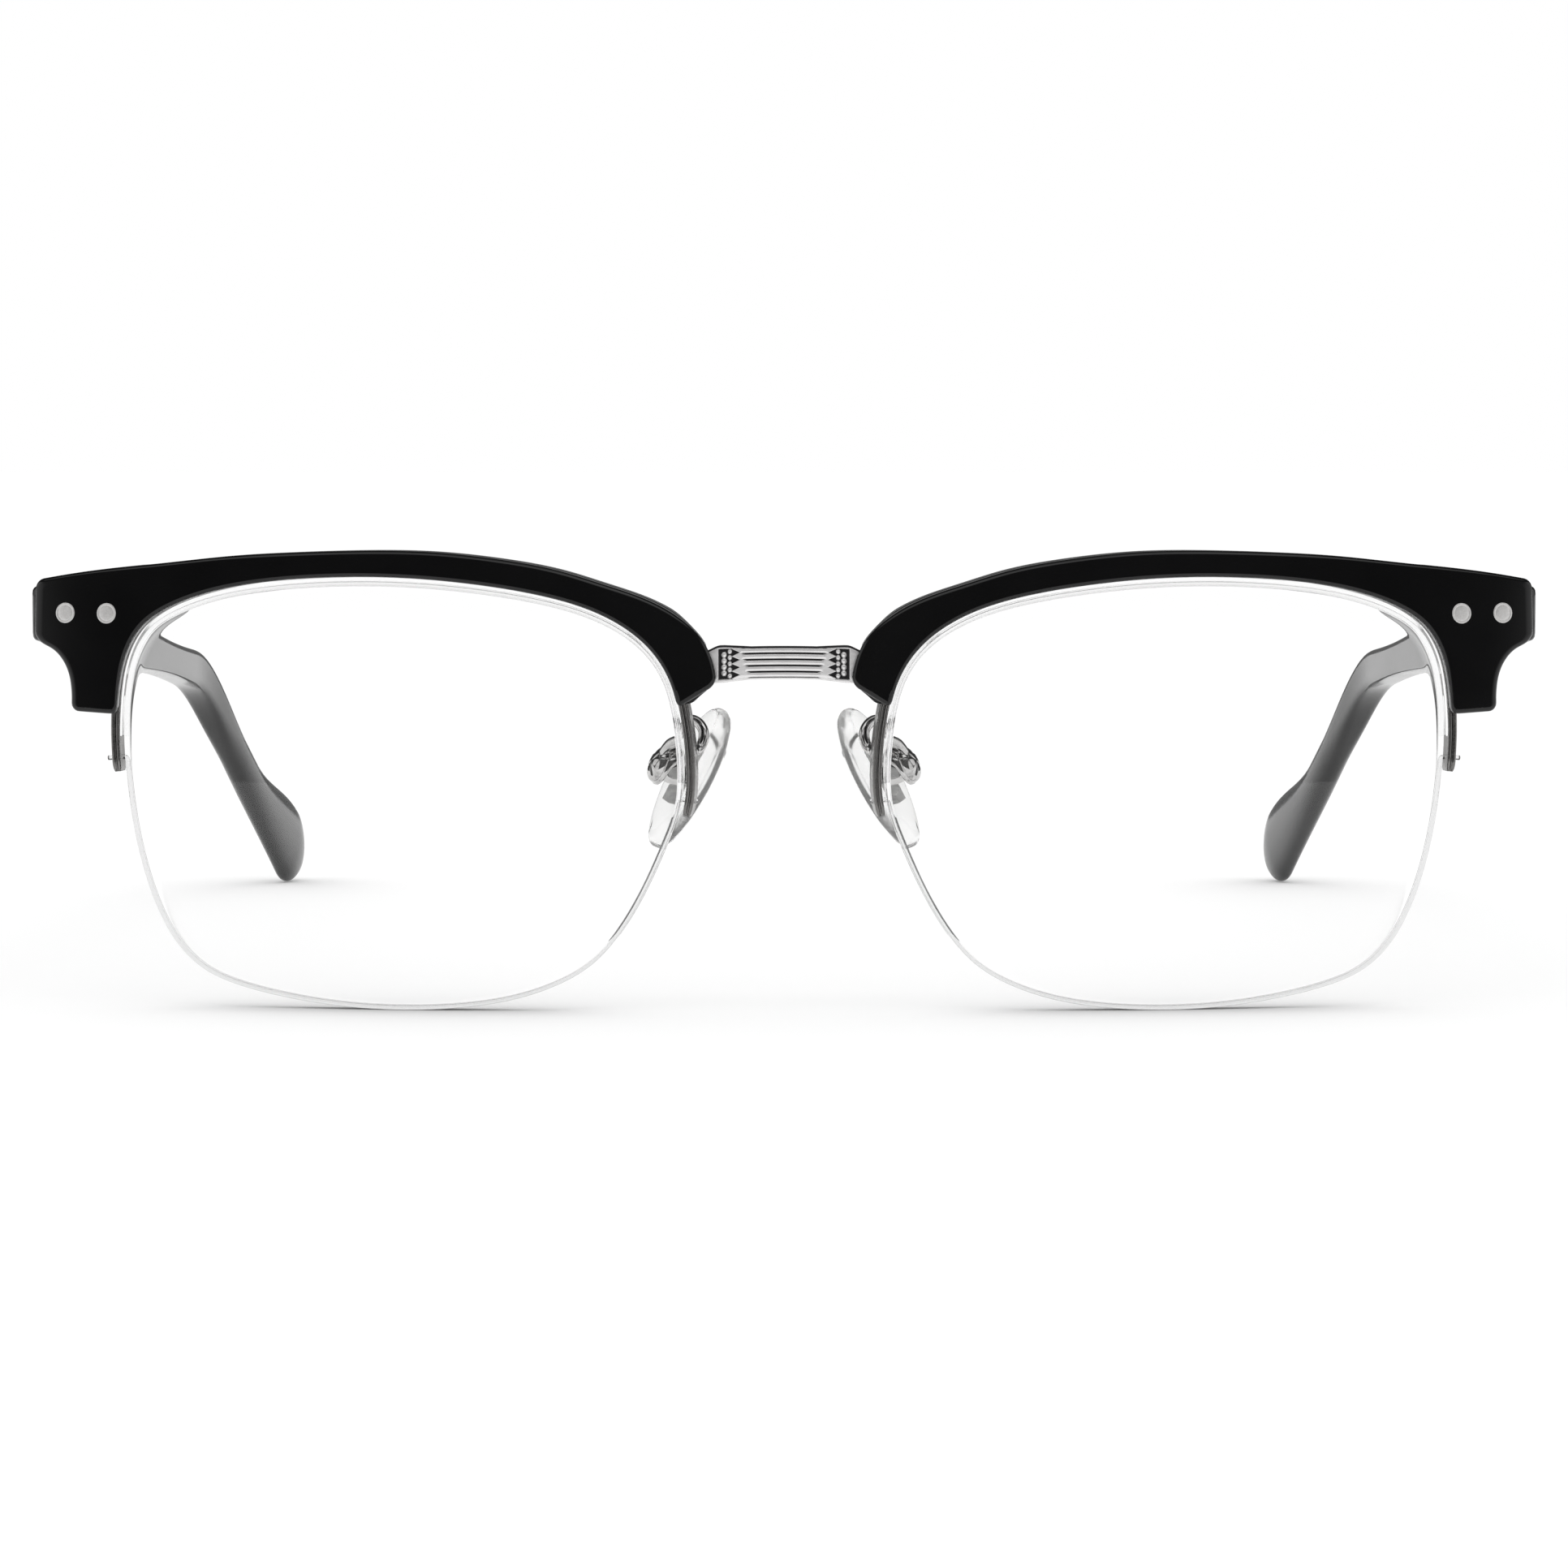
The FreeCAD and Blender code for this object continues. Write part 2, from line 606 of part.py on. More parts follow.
def temple_leaf_plate(grow):
    """Plate of the temple leaf, following the temple's slope."""
    fall = math.tan(math.radians(TEMPLE_SLOPE))
    y0 = AXIS_Y - 0.5 - grow
    y1 = AXIS_Y + TEMPLE_LEAF_LENGTH + grow
    half = TEMPLE_LEAF_HEIGHT / 2 + grow
    corners = []
    for y, sign in ((y0, -1), (y1, -1), (y1, 1), (y0, 1)):
        z = HINGE_Z - (y - AXIS_Y) * fall + sign * half
        corners.append(V(TEMPLE_IN - LEAF_PROUD, y, z))
    face = Part.Face(Part.makePolygon(corners + corners[:1]))
    return face.extrude(V(LEAF_THICK + grow, 0, 0))


def pin_points(i):
    """Start and end of a temple pin; 0 front and upper, 1 rear and lower."""
    y = AXIS_Y + PIN_PLACES[i]
    fall = math.tan(math.radians(TEMPLE_SLOPE))
    z = HINGE_Z - (y - AXIS_Y) * fall + (PIN_RISE, -PIN_RISE)[i]
    x = TEMPLE_IN - LEAF_PROUD + 0.02
    return V(x, y, z), V(x + PIN_LENGTH, y, z)


def make_temple_leaf():
    """Hinge leaf in the temple with two knuckles."""
    leaf = temple_leaf_plate(0.0)
    x1 = TEMPLE_IN - LEAF_PROUD + 0.2
    for i in range(1, KNUCKLES, 2):
        a, b = knuckle_span(i)
        barrel = Part.makeCylinder(BARREL_RADIUS, b - a, V(AXIS_X, AXIS_Y, a))
        web = Part.makeBox(x1 - AXIS_X, 1.1, b - a, V(AXIS_X, AXIS_Y - 0.5, a))
        leaf = leaf.fuse(barrel).fuse(web)
    hole = HINGE_SCREW_RADIUS + HINGE_RUN
    z0 = HINGE_Z - HINGE_HEIGHT / 2 - 1
    leaf = leaf.cut(Part.makeCylinder(hole, HINGE_HEIGHT + 2, V(AXIS_X, AXIS_Y, z0)))
    for i in (0, 1):
        a, b = pin_points(i)
        leaf = leaf.cut(rod(a - V(1, 0, 0), b, PIN_RADIUS + SEAT_GAP))
    return single(leaf)


# ------------------------------------------------------------ temple
def smooth(f):
    """Soft step from 0 to 1."""
    f = min(1.0, max(0.0, f))
    return f * f * (3 - 2 * f)


def temple_height(s):
    """Height of the temple at a distance from the hinge, up to the end arc."""
    bend = TEMPLE_LENGTH - TIP_LENGTH
    last = TEMPLE_LENGTH - PADDLE_HEIGHT / 2
    waist = TEMPLE_HEIGHT - WAIST_HEIGHT
    high = TEMPLE_HEIGHT - waist * smooth((s / bend - 0.40) / 0.38)
    high += (BEND_HEIGHT - WAIST_HEIGHT) * smooth((s / bend - 0.80) / 0.22)
    f = min(1.0, max(0.0, (s - bend) / (last - bend)))
    extra = PADDLE_HEIGHT - BEND_HEIGHT
    return high + extra * (0.38 * f * f + 0.62 * smooth((f - 0.55) / 0.45))


def temple_path(slope):
    """Stations along the temple: (distance, centre, width and up directions)."""
    bend = TEMPLE_LENGTH - TIP_LENGTH
    last = TEMPLE_LENGTH - PADDLE_HEIGHT / 2
    step = 0.25
    s = -9.0
    x0 = OVERALL_WIDTH / 2 - TEMPLE_THICK / 2 + FACE_TRIM
    fall = math.radians(slope)
    centre = V(x0, AXIS_Y + s * math.cos(fall), HINGE_Z - s * math.sin(fall))
    base = temple_height(bend)
    rows = []
    while s <= TEMPLE_LENGTH + 1.0:
        f = min(1.0, max(0.0, (s - bend) / BEND_LENGTH + 0.5))
        turn = f * f * (3 - 2 * f)
        a = math.radians(slope + TIP_DROP * turn)
        g = min(1.0, max(0.0, (s - 8.0) / 8.0))
        yaw = math.radians(TEMPLE_TAPER * g + TIP_TOE * turn)
        width = V(math.cos(yaw), math.sin(yaw), 0)
        up = V(-math.sin(yaw) * math.sin(a), math.cos(yaw) * math.sin(a), math.cos(a))
        ahead = V(-math.sin(yaw) * math.cos(a), math.cos(yaw) * math.cos(a), -math.sin(a))
        shift = 0.5 * (temple_height(min(s, last)) - base) * turn
        rows.append((s, centre + up * shift, width, up, ahead))
        centre = centre + ahead * step
        s += step
    return rows


def tip_level(slope):
    """Height of the tip's lowest point for a slope of the temple."""
    last = TEMPLE_LENGTH - PADDLE_HEIGHT / 2
    rows = temple_path(slope)
    row = min(rows, key=lambda r: abs(r[0] - last))
    return row[1].z - PADDLE_HEIGHT / 2


def find_slope():
    """Slope that brings the tip down to the table."""
    low, high = -10.0, 30.0
    for i in range(40):
        middle = (low + high) / 2
        if tip_level(middle) > 0:
            low = middle
        else:
            high = middle
    return (low + high) / 2


TEMPLE_SLOPE = find_slope()


def rounded_ring(centre, width, up, thick, high, radius):
    """Rounded rectangle wire across the temple."""
    r = min(radius, 0.42 * thick, 0.42 * high)
    w, h = thick / 2, high / 2
    k = r * (1 - math.sqrt(0.5))
    spots = [
        (w, -h + r), (w, h - r), (w - k, h - k), (w - r, h), (-w + r, h),
        (-w + k, h - k), (-w, h - r), (-w, -h + r), (-w + k, -h + k),
        (-w + r, -h), (w - r, -h), (w - k, -h + k),
    ]
    p = [centre + width * a + up * b for a, b in spots]
    edges = []
    for i in range(0, 12, 3):
        edges.append(Part.LineSegment(p[i], p[i + 1]).toShape())
        edges.append(Part.Arc(p[i + 1], p[i + 2], p[(i + 3) % 12]).toShape())
    return Part.Wire(edges)


def temple_stations():
    """Distances of the loft's sections, even along each stretch."""
    bend = TEMPLE_LENGTH - TIP_LENGTH
    last = TEMPLE_LENGTH - PADDLE_HEIGHT / 2
    straight = bend - BEND_LENGTH / 2 + 9.0
    marks = [-9.0 + straight * i / 18.0 for i in range(18)]
    tip = last - bend + BEND_LENGTH / 2
    marks += [bend - BEND_LENGTH / 2 + tip * i / 14.0 for i in range(15)]
    return marks


def row_at(rows, s):
    """Path row nearest to a distance, moved exactly onto it."""
    row = min(rows, key=lambda r: abs(r[0] - s))
    return row[1] + row[4] * (s - row[0]), row[2], row[3]


def temple_loft():
    """Plain temple body, before the hinge cuts."""
    rows = temple_path(TEMPLE_SLOPE)
    last = TEMPLE_LENGTH - PADDLE_HEIGHT / 2
    rings = []
    for s in temple_stations():
        f = max(0.0, s) / TEMPLE_LENGTH
        thick = TEMPLE_THICK + (TEMPLE_TIP_THICK - TEMPLE_THICK) * f
        centre, width, up = row_at(rows, s)
        rings.append(rounded_ring(centre, width, up, thick, temple_height(s), TEMPLE_ROUND))
    row = min(rows, key=lambda r: abs(r[0] - last))
    for angle in (22, 42, 58, 70, 79, 85):
        c = math.cos(math.radians(angle))
        centre = row[1] + row[4] * (last - row[0])
        centre = centre + row[4] * (PADDLE_HEIGHT / 2 * math.sin(math.radians(angle)))
        thick = TEMPLE_TIP_THICK * max(0.3, c ** 0.6)
        rings.append(rounded_ring(centre, row[2], row[3], thick, PADDLE_HEIGHT * c, TEMPLE_ROUND))
    return Part.makeLoft(rings, True, False)


def wire_loft(grow, start):
    """Core wire, or the room it needs, from a start distance."""
    rows = temple_path(TEMPLE_SLOPE)
    end = TEMPLE_LENGTH - PADDLE_HEIGHT
    marks = [start] + [s for s in temple_stations() if start + 2 < s < end - 3]
    rings = []
    for s in marks + [end + grow]:
        centre, width, up = row_at(rows, s)
        w = WIRE_THICK / 2 + grow
        h = WIRE_HEIGHT / 2 + grow
        corners = [centre + width * a + up * b for a, b in ((w, -h), (w, h), (-w, h), (-w, -h))]
        rings.append(Part.makePolygon(corners + corners[:1]))
    return Part.makeLoft(rings, True, False)


def make_temple():
    """Temple with mitred front, leaf pocket, pin holes and wire channel."""
    body = temple_loft()
    front = seat_block(-20, 20, -20, TEMPLE_GAP, 0, 2 * HINGE_Z)
    body = body.cut(front)
    planed = V(OVERALL_WIDTH / 2, -50, 0)
    body = body.cut(Part.makeBox(20, TEMPLE_LENGTH, 3 * HINGE_Z, planed))
    body = body.cut(temple_leaf_plate(SEAT_GAP))
    for i in (0, 1):
        a, b = pin_points(i)
        body = body.cut(rod(a, b + V(0.05, 0, 0), PIN_RADIUS + SEAT_GAP))
    return single(body.cut(wire_loft(SEAT_GAP, -8.0)))


def make_core_wire():
    """Flat metal wire inside the temple."""
    wire = wire_loft(0.0, -8.0)
    return wire.cut(seat_block(-20, 20, -20, TEMPLE_GAP + 0.4, 0, 2 * HINGE_Z))


# ------------------------------------------------------------ bridge
def bridge_half(x):
    """Centre y, centre z and half height of the bridge at x."""
    f = min(1.0, abs(x) / 9.0)
    y = BRIDGE_BACK - BRIDGE_BOW * (1 - f * f)
    z = LENS_HEIGHT - BRIDGE_DROP - 0.35 * f * f
    high = BRIDGE_HEIGHT / 2 + BRIDGE_FLARE * min(1.0, max(0.0, (abs(x) - 3.0) / 2.5))
    return y, z, high


def make_bridge():
    """Ribbed bridge, its ends trimmed against the two rims."""
    reach = NOSE_GAP / 2 + 2.2
    rings = []
    for i in range(-7, 8):
        x = reach * i / 7.0
        y, z, high = bridge_half(x)
        w = BRIDGE_THICK / 2
        corners = [V(x, y - w, z - high), V(x, y - w, z + high)]
        corners += [V(x, y + w, z + high), V(x, y + w, z - high)]
        rings.append(Part.makePolygon(corners + corners[:1]))
    bridge = Part.makeLoft(rings, True, False)
    y, z, high = bridge_half(0.0)
    front = y - BRIDGE_THICK / 2
    for i in range(RIB_GROOVES):
        at = z + (i - (RIB_GROOVES - 1) / 2.0) * RIB_PITCH
        a = V(-RIB_HALF_LENGTH, front + 0.05, at)
        b = V(RIB_HALF_LENGTH, front + 0.05, at)
        bridge = bridge.cut(rod(a, b, RIB_GROOVE_RADIUS))
    for sign in (1, -1):
        bridge = bridge.cut(spike_pocket(sign))
        eye = to_world(prism(RIM_OUT + SEAT_GAP))
        if sign < 0:
            eye = eye.mirror(V(0, 0, 0), V(1, 0, 0))
        bridge = bridge.cut(eye)
    return single(bridge)


def spike_pocket(sign):
    """Shallow pocket with a saw-toothed inner side."""
    y, z, high = bridge_half(SPIKE_OUT)
    teeth = 4
    pitch = 2 * (high - 0.35) / teeth
    low = z - high + 0.35
    points = [V(SPIKE_OUT, 0, low), V(SPIKE_OUT, 0, low + teeth * pitch)]
    for i in range(teeth):
        top = low + (teeth - i) * pitch
        points.append(V(SPIKE_IN + 0.35, 0, top))
        points.append(V(SPIKE_IN, 0, top - pitch / 2))
    points.append(V(SPIKE_IN + 0.35, 0, low))
    points = [V(p.x * sign, 0, p.z) for p in points]
    face = Part.Face(Part.makePolygon(points + points[:1]))
    front = bridge_half(SPIKE_IN)[0] - BRIDGE_THICK / 2
    face.translate(V(0, front - 1.0, 0))
    return face.extrude(V(0, 1.0 + SPIKE_DEPTH, 0))


def bridge_room():
    """Room the brow leaves for the bridge's end, open to the back."""
    reach = NOSE_GAP / 2 + 2.2
    y, z, high = bridge_half(reach)
    w = BRIDGE_THICK / 2
    front = bridge_half(4.0)[0] - w - 0.1
    half = high + 0.08
    return Part.makeBox(reach, 6.0, 2 * half + 0.16, V(2.0, front, z - half))


# ------------------------------------------------------------ nose pads
TILT = math.radians(PAD_TILT)
SPLAY = math.radians(PAD_SPLAY)
PAD_CENTRE = V(NOSE_GAP / 2 - PAD_X_IN, PAD_Y, EYE_Z + PAD_Z)
PAD_LONG = V(-math.sin(TILT), 0, math.cos(TILT))
PAD_OUT = V(
    math.cos(SPLAY) * math.cos(TILT), -math.sin(SPLAY), math.cos(SPLAY) * math.sin(TILT)
)
PAD_WIDE = V(
    math.sin(SPLAY) * math.cos(TILT), math.cos(SPLAY), math.sin(SPLAY) * math.sin(TILT)
)


def pad_point(out, wide, along):
    """World point in pad coordinates: towards the lens, to the back, up."""
    return PAD_CENTRE + PAD_OUT * out + PAD_WIDE * wide + PAD_LONG * along


def pad_block(out, wide, along):
    """Block in pad coordinates from three (low, high) pairs."""
    corners = []
    for w, a in ((0, 0), (1, 0), (1, 1), (0, 1)):
        corners.append(pad_point(out[0], wide[w], along[a]))
    face = Part.Face(Part.makePolygon(corners + corners[:1]))
    return face.extrude(PAD_OUT * (out[1] - out[0]))


def pad_ring(out, scale, count=28):
    """Egg-shaped ring of the pad at one level."""
    points = []
    for i in range(count):
        a = 2 * math.pi * i / count
        along = 0.5 * PAD_LENGTH * math.cos(a)
        wide = 0.5 * PAD_WIDTH * math.sin(a) * (1 + 0.13 * math.cos(a))
        points.append(pad_point(out, wide * scale, along * (0.15 + 0.85 * scale)))
    return Part.Wire([closed_curve(points).toShape()])


def make_nose_pad():
    """Silicone cushion with the room for its metal insert."""
    h = PAD_THICK / 2
    levels = ((-1.0, 0.55), (-0.82, 0.78), (-0.52, 0.92), (-0.12, 0.99))
    levels += ((0.28, 1.0), (0.62, 0.96), (0.86, 0.86), (1.0, 0.70))
    rings = [pad_ring(h * level, scale) for level, scale in levels]
    pad = Part.makeLoft(rings, True, False)
    return single(pad.cut(insert_shape(SEAT_GAP, 0.0)))


def insert_shape(grow, hole):
    """Plate and tab of the insert, grown by a clearance."""
    low = 0.25
    plate = pad_block(
        (low - grow, low + PLATE_THICK + grow),
        (-PLATE_WIDTH / 2 - grow, PLATE_WIDTH / 2 + grow),
        (-PLATE_LENGTH / 2 - grow, PLATE_LENGTH / 2 + grow),
    )
    half = TAB_THICK / 2 + grow
    tab = pad_block(
        (low, PAD_SCREW_AT), (-half, half), (-TAB_HALF - grow, TAB_HALF + grow)
    )
    a = pad_point(PAD_SCREW_AT, -half, 0)
    b = pad_point(PAD_SCREW_AT, half, 0)
    shape = plate.fuse(tab).fuse(rod(a, b, TAB_HALF + grow))
    if hole > 0:
        a = pad_point(PAD_SCREW_AT, -3, 0)
        b = pad_point(PAD_SCREW_AT, 3, 0)
        shape = shape.cut(rod(a, b, hole))
    return shape


def make_pad_insert():
    """Metal plate and tab moulded in the pad."""
    return single(insert_shape(0.0, PAD_SCREW_RADIUS + PAD_RUN))


def box_levels():
    """Pad side, slot floor and back of the box, along PAD_OUT."""
    floor = PAD_SCREW_AT + TAB_HALF + 0.1
    return PAD_THICK / 2 + 0.2, floor, floor + BOX_WALL


def make_pad_box():
    """Box at the arm's end; its two ears take the tab and the screw."""
    low, floor, top = box_levels()
    slot = TAB_THICK / 2 + BOX_PLAY
    half = slot + BOX_EAR
    body = pad_block((low, top), (-half, half), (-BOX_LENGTH / 2, BOX_LENGTH / 2))
    room = pad_block((low - 1, floor), (-slot, slot), (-BOX_LENGTH, BOX_LENGTH))
    body = body.cut(room)
    a = pad_point(PAD_SCREW_AT, -3, 0)
    b = pad_point(PAD_SCREW_AT, 3, 0)
    return single(body.cut(rod(a, b, PAD_SCREW_RADIUS + SEAT_GAP)))


def make_pad_screw():
    """Screw through box and tab."""
    half = TAB_THICK / 2 + BOX_PLAY + BOX_EAR
    a = pad_point(PAD_SCREW_AT, half + 0.1, 0)
    b = pad_point(PAD_SCREW_AT, -half - 0.02, 0)
    c = pad_point(PAD_SCREW_AT, -half - 0.37, 0)
    screw = rod(a, c, PAD_SCREW_RADIUS).fuse(rod(b, c, 0.72))
    slot = pad_block(
        (PAD_SCREW_AT - 0.1, PAD_SCREW_AT + 0.1), (-half - 1, -half - 0.22), (-2, 2)
    )
    return single(screw.cut(slot))


def arm_points():
    """Centre points of the arm's wire, from the rim's back to the box."""
    t = edge_at(-1, 0.20)
    point, tangent, normal = edge_frame(t)
    p = point + normal * ((RIM_IN + RIM_OUT) / 2)
    start = world_point(on_ball(p.x, p.z, RIM_BACK))
    top = box_levels()[2]
    end = pad_point(top, 0.0, 0.0)
    # loop points as offsets from the rim start and from the box
    points = [start]
    for dx, dy, dz in (
        (-0.55, 1.05, 0.35), (-0.95, 1.75, 1.45), (-0.55, 2.45, 2.45),
        (0.45, 3.10, 2.70), (1.25, 3.60, 1.90), (1.75, 3.95, 0.75),
    ):
        points.append(start + V(dx, dy, dz))
    for dx, dy, dz in ((0.42, -0.95, 1.42), (1.05, -0.62, 0.85)):
        points.append(end + V(dx, dy, dz))
    points.append(end + PAD_OUT * 0.45)
    points.append(end - PAD_OUT * 0.02)
    return points


def make_pad_arm():
    """Bent round wire that carries the box."""
    points = arm_points()
    path = Part.Wire([open_curve(points)])
    ahead = points[1].sub(points[0])
    edge = path.Edges[0]
    ahead = edge.tangentAt(edge.FirstParameter)
    ring = Part.Wire([Part.makeCircle(ARM_RADIUS, points[0], ahead)])
    wire = path.makePipeShell([ring], True, True)
    eye = to_world(between(prism(RIM_OUT + 4.0), -1.0, RIM_BACK + 0.01))
    top = box_levels()[2]
    block = pad_block((-2, top + 0.01), (-2, 2), (-2, 2))
    return single(wire.cut(eye).cut(block))


# ------------------------------------------------------------ assembly
def one_side():
    """All pieces of the wearer's left side, by name."""
    brow = to_world(make_brow())
    inner = -FRONT_LEAF_IN - 0.6
    brow = brow.cut(seat_block(inner, 12.0, 0.0, 12.0, 0, 3 * HINGE_Z))
    brow = brow.cut(bridge_room())
    for at in rivet_places():
        brow = brow.cut(rivet_rod(at, RIVET_RADIUS + SEAT_GAP, 1.0))
    parts = {
        "brow": single(brow),
        "rim": to_world(make_rim()),
        "rim_lug_nasal": to_world(make_lug(-1)),
        "rim_lug_temporal": to_world(make_lug(1)),
        "brow_screw_nasal": to_world(make_brow_screw(-1)),
        "brow_screw_temporal": to_world(make_brow_screw(1)),
        "lens": to_world(make_lens()),
        "rim_liner": to_world(make_liner()),
        "nylon_cord": to_world(make_cord()),
        "pad_arm": make_pad_arm(),
        "pad_box": make_pad_box(),
        "nose_pad": make_nose_pad(),
        "pad_insert": make_pad_insert(),
        "pad_screw": make_pad_screw(),
        "hinge_front_leaf": make_front_leaf(),
        "rivet_outer": make_rivet(rivet_places()[0]),
        "rivet_inner": make_rivet(rivet_places()[1]),
        "hinge_temple_leaf": make_temple_leaf(),
        "hinge_screw": make_hinge_screw(),
        "temple": make_temple(),
        "temple_core_wire": make_core_wire(),
    }
    for i, name in ((0, "temple_pin_front"), (1, "temple_pin_rear")):
        a, b = pin_points(i)
        parts[name] = rod(a, b, PIN_RADIUS)
    return parts


def y_range(shapes):
    """Lowest and highest y over all shapes."""
    values = []
    for shape in shapes:
        values += [p.y for p in shape.tessellate(0.05)[0]]
    return min(values), max(values)


def main():
    """Build both sides and the bridge, centre them in y and write them."""
    side = one_side()
    nodes = {"bridge": make_bridge()}
    for name, shape in side.items():
        nodes[name + "_left"] = shape
        nodes[name + "_right"] = shape.mirror(V(0, 0, 0), V(1, 0, 0))
    low, high = y_range([side["brow"], side["temple"]])
    shift = V(0, -(low + high) / 2, 0)
    for name in sorted(nodes):
        shape = nodes[name].copy()
        shape.translate(shift)
        shape.exportStep(os.path.join("parts", name + ".step"))
        print(name, "valid", shape.isValid(), "solids", len(shape.Solids),
              "volume %.2f" % shape.Volume)
    print("slope %.3f  shift %.3f" % (TEMPLE_SLOPE, shift.y))
    print("hinge axis", AXIS_X, AXIS_Y + shift.y, HINGE_Z)
    print("pad axis", pad_point(PAD_SCREW_AT, 0, 0) + shift, PAD_WIDE)


main()
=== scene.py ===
"""Half rim eyeglasses: polished acetate brows and temples on metal upper rims,
an engraved bridge, clear lenses held by nylon cord, and silicone nose pads.

Shapes are worked out in millimetres in the drawing frame: x across the face,
+x the wearer's left, y to the back and z up from the table.  make_piece moves
them to the row frame in metres.  The right side is the left side mirrored.
"""
import json
import math

import bmesh
import bpy
import numpy as np
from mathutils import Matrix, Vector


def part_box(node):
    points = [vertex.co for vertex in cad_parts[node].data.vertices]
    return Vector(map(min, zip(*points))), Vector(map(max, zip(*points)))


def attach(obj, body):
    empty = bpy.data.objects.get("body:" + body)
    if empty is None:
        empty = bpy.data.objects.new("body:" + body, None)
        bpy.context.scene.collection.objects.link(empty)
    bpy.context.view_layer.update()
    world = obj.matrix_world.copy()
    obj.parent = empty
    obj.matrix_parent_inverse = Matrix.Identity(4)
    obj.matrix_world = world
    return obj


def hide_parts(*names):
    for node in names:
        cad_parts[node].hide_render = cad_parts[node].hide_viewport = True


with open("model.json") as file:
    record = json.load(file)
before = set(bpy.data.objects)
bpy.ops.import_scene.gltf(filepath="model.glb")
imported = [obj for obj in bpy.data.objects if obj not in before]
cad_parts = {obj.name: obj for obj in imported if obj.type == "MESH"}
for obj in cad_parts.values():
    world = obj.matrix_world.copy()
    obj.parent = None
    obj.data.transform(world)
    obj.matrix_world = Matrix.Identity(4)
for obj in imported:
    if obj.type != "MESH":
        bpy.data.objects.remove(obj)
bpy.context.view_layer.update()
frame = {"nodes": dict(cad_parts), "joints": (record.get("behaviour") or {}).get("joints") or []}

# ------------------------------------------------------------ sizes
LENS_WIDTH = 52.0
LENS_HEIGHT = 39.4
NOSE_GAP = 18.8
BASE_RADIUS = 130.0          # radius of the lens front
WRAP = math.radians(6.0)
LENS_THICK = 2.0
GROOVE_WIDTH = 0.5
GROOVE_DEPTH = 0.5
LENS_BEVEL = 0.12
LINER_THICK = 0.45
RIM_THICK = 0.8
RIM_FRONT = -0.2             # depth behind the lens front
RIM_BACK = 2.4
RIM_ROUND = 0.16
RIM_END_TEMPLE = 0.107       # heights, in half lens heights
RIM_END_NOSE = -0.076
BROW_FRONT = -1.6
BROW_BACK = 2.4
BROW_ROUND_FRONT = 0.42
BROW_ROUND_BACK = 0.30
SEAT_GAP = 0.05              # between seated pieces
REBATE = RIM_THICK + SEAT_GAP
REBATE_DEPTH = RIM_FRONT - SEAT_GAP
NOSE_LEAN = 0.115            # sideways per depth, of the wall at the nose end
LUG_DROP = 5.1               # below the lens top
LUG_REACH = 2.9
LUG_HALF = 0.86
LUG_THICK = 0.8
LUG_GAP = 0.02
END_REACH = 8.7
END_HEIGHT = 5.5
FOOT_REACH = 4.9
FOOT_DROP = 12.35
NOSE_REACH = 3.2
NOSE_DROP = 8.6
BROW_RISE = 2.86
HINGE_Z = 36.2
HINGE_HEIGHT = 4.0
SEAT_REACH = 5.5
LEAF_THICK = 0.8
LEAF_IN = 6.6
BARREL_OFF = 0.1
BARREL_RADIUS = 1.15
RIVET_RADIUS = 0.95
RIVET_PLACES = {"outer": -0.94, "inner": -5.18}
RIVET_RISE = 0.2
TEMPLE_LENGTH = 140.0
TEMPLE_THICK = 3.4
TEMPLE_TIP_THICK = 3.0
TEMPLE_HEIGHT = 5.2
WAIST_HEIGHT = 3.6
BEND_HEIGHT = 4.1
PADDLE_HEIGHT = 9.2
TIP_LENGTH = 46.7
TIP_DROP = 29.0
BEND_LENGTH = 18.0
TEMPLE_TAPER = 2.1
TIP_TOE = 8.6
TEMPLE_SLOPE = 5.861
TEMPLE_GAP = 0.15
TEMPLE_EDGE = 0.9            # rounding of the front end
TEMPLE_AHEAD = 9.0           # how far before the hinge its line starts
TEMPLE_STATION = 0.25
BAR_POWER = 6.0              # section, nearly a bar
TIP_POWER = 2.2              # section, nearly an ellipse
OUTER_TRIM = 0.004
FACE_TRIM = 0.12
BRIDGE_HEIGHT = 3.0
BRIDGE_FLARE = 0.2
BRIDGE_THICK = 1.7
BRIDGE_DROP = 7.35
BRIDGE_BOW = 0.45
BRIDGE_BACK = 1.15
BRIDGE_ARCH = 0.35           # the ends below the middle
BRIDGE_INTO_BROW = 4.2
PAD_LENGTH = 14.3
PAD_WIDTH = 8.0
PAD_THICK = 2.5
PAD_EGG = 0.13               # how much wider the top is
PAD_X_IN = 0.67              # pad centre, nose side of the lens edge
PAD_Y = 9.0
PAD_Z = 1.15                 # above the lens centre
PAD_TILT = math.radians(27.0)
PAD_SPLAY = math.radians(20.0)
PAD_SCREW_OFF = 0.8          # behind the pad's lens side
TAB_HALF = 0.75
BOX_SLACK = 0.1
BOX_WALL = 0.35
BOX_TOP = PAD_THICK / 2 + PAD_SCREW_OFF + TAB_HALF + BOX_SLACK + BOX_WALL
ARM_RADIUS = 0.5
MM = 0.001                   # metres in a millimetre
MERGE = 2e-7                 # points nearer than this, in metres, are one

HALF_W = LENS_WIDTH / 2
HALF_H = LENS_HEIGHT / 2
EDGE_DEPTH = BASE_RADIUS - math.sqrt(BASE_RADIUS ** 2 - HALF_W ** 2)
EYE_X = NOSE_GAP / 2 + HALF_W * math.cos(WRAP) + EDGE_DEPTH * math.sin(WRAP)
RIM_OUT = LINER_THICK + RIM_THICK

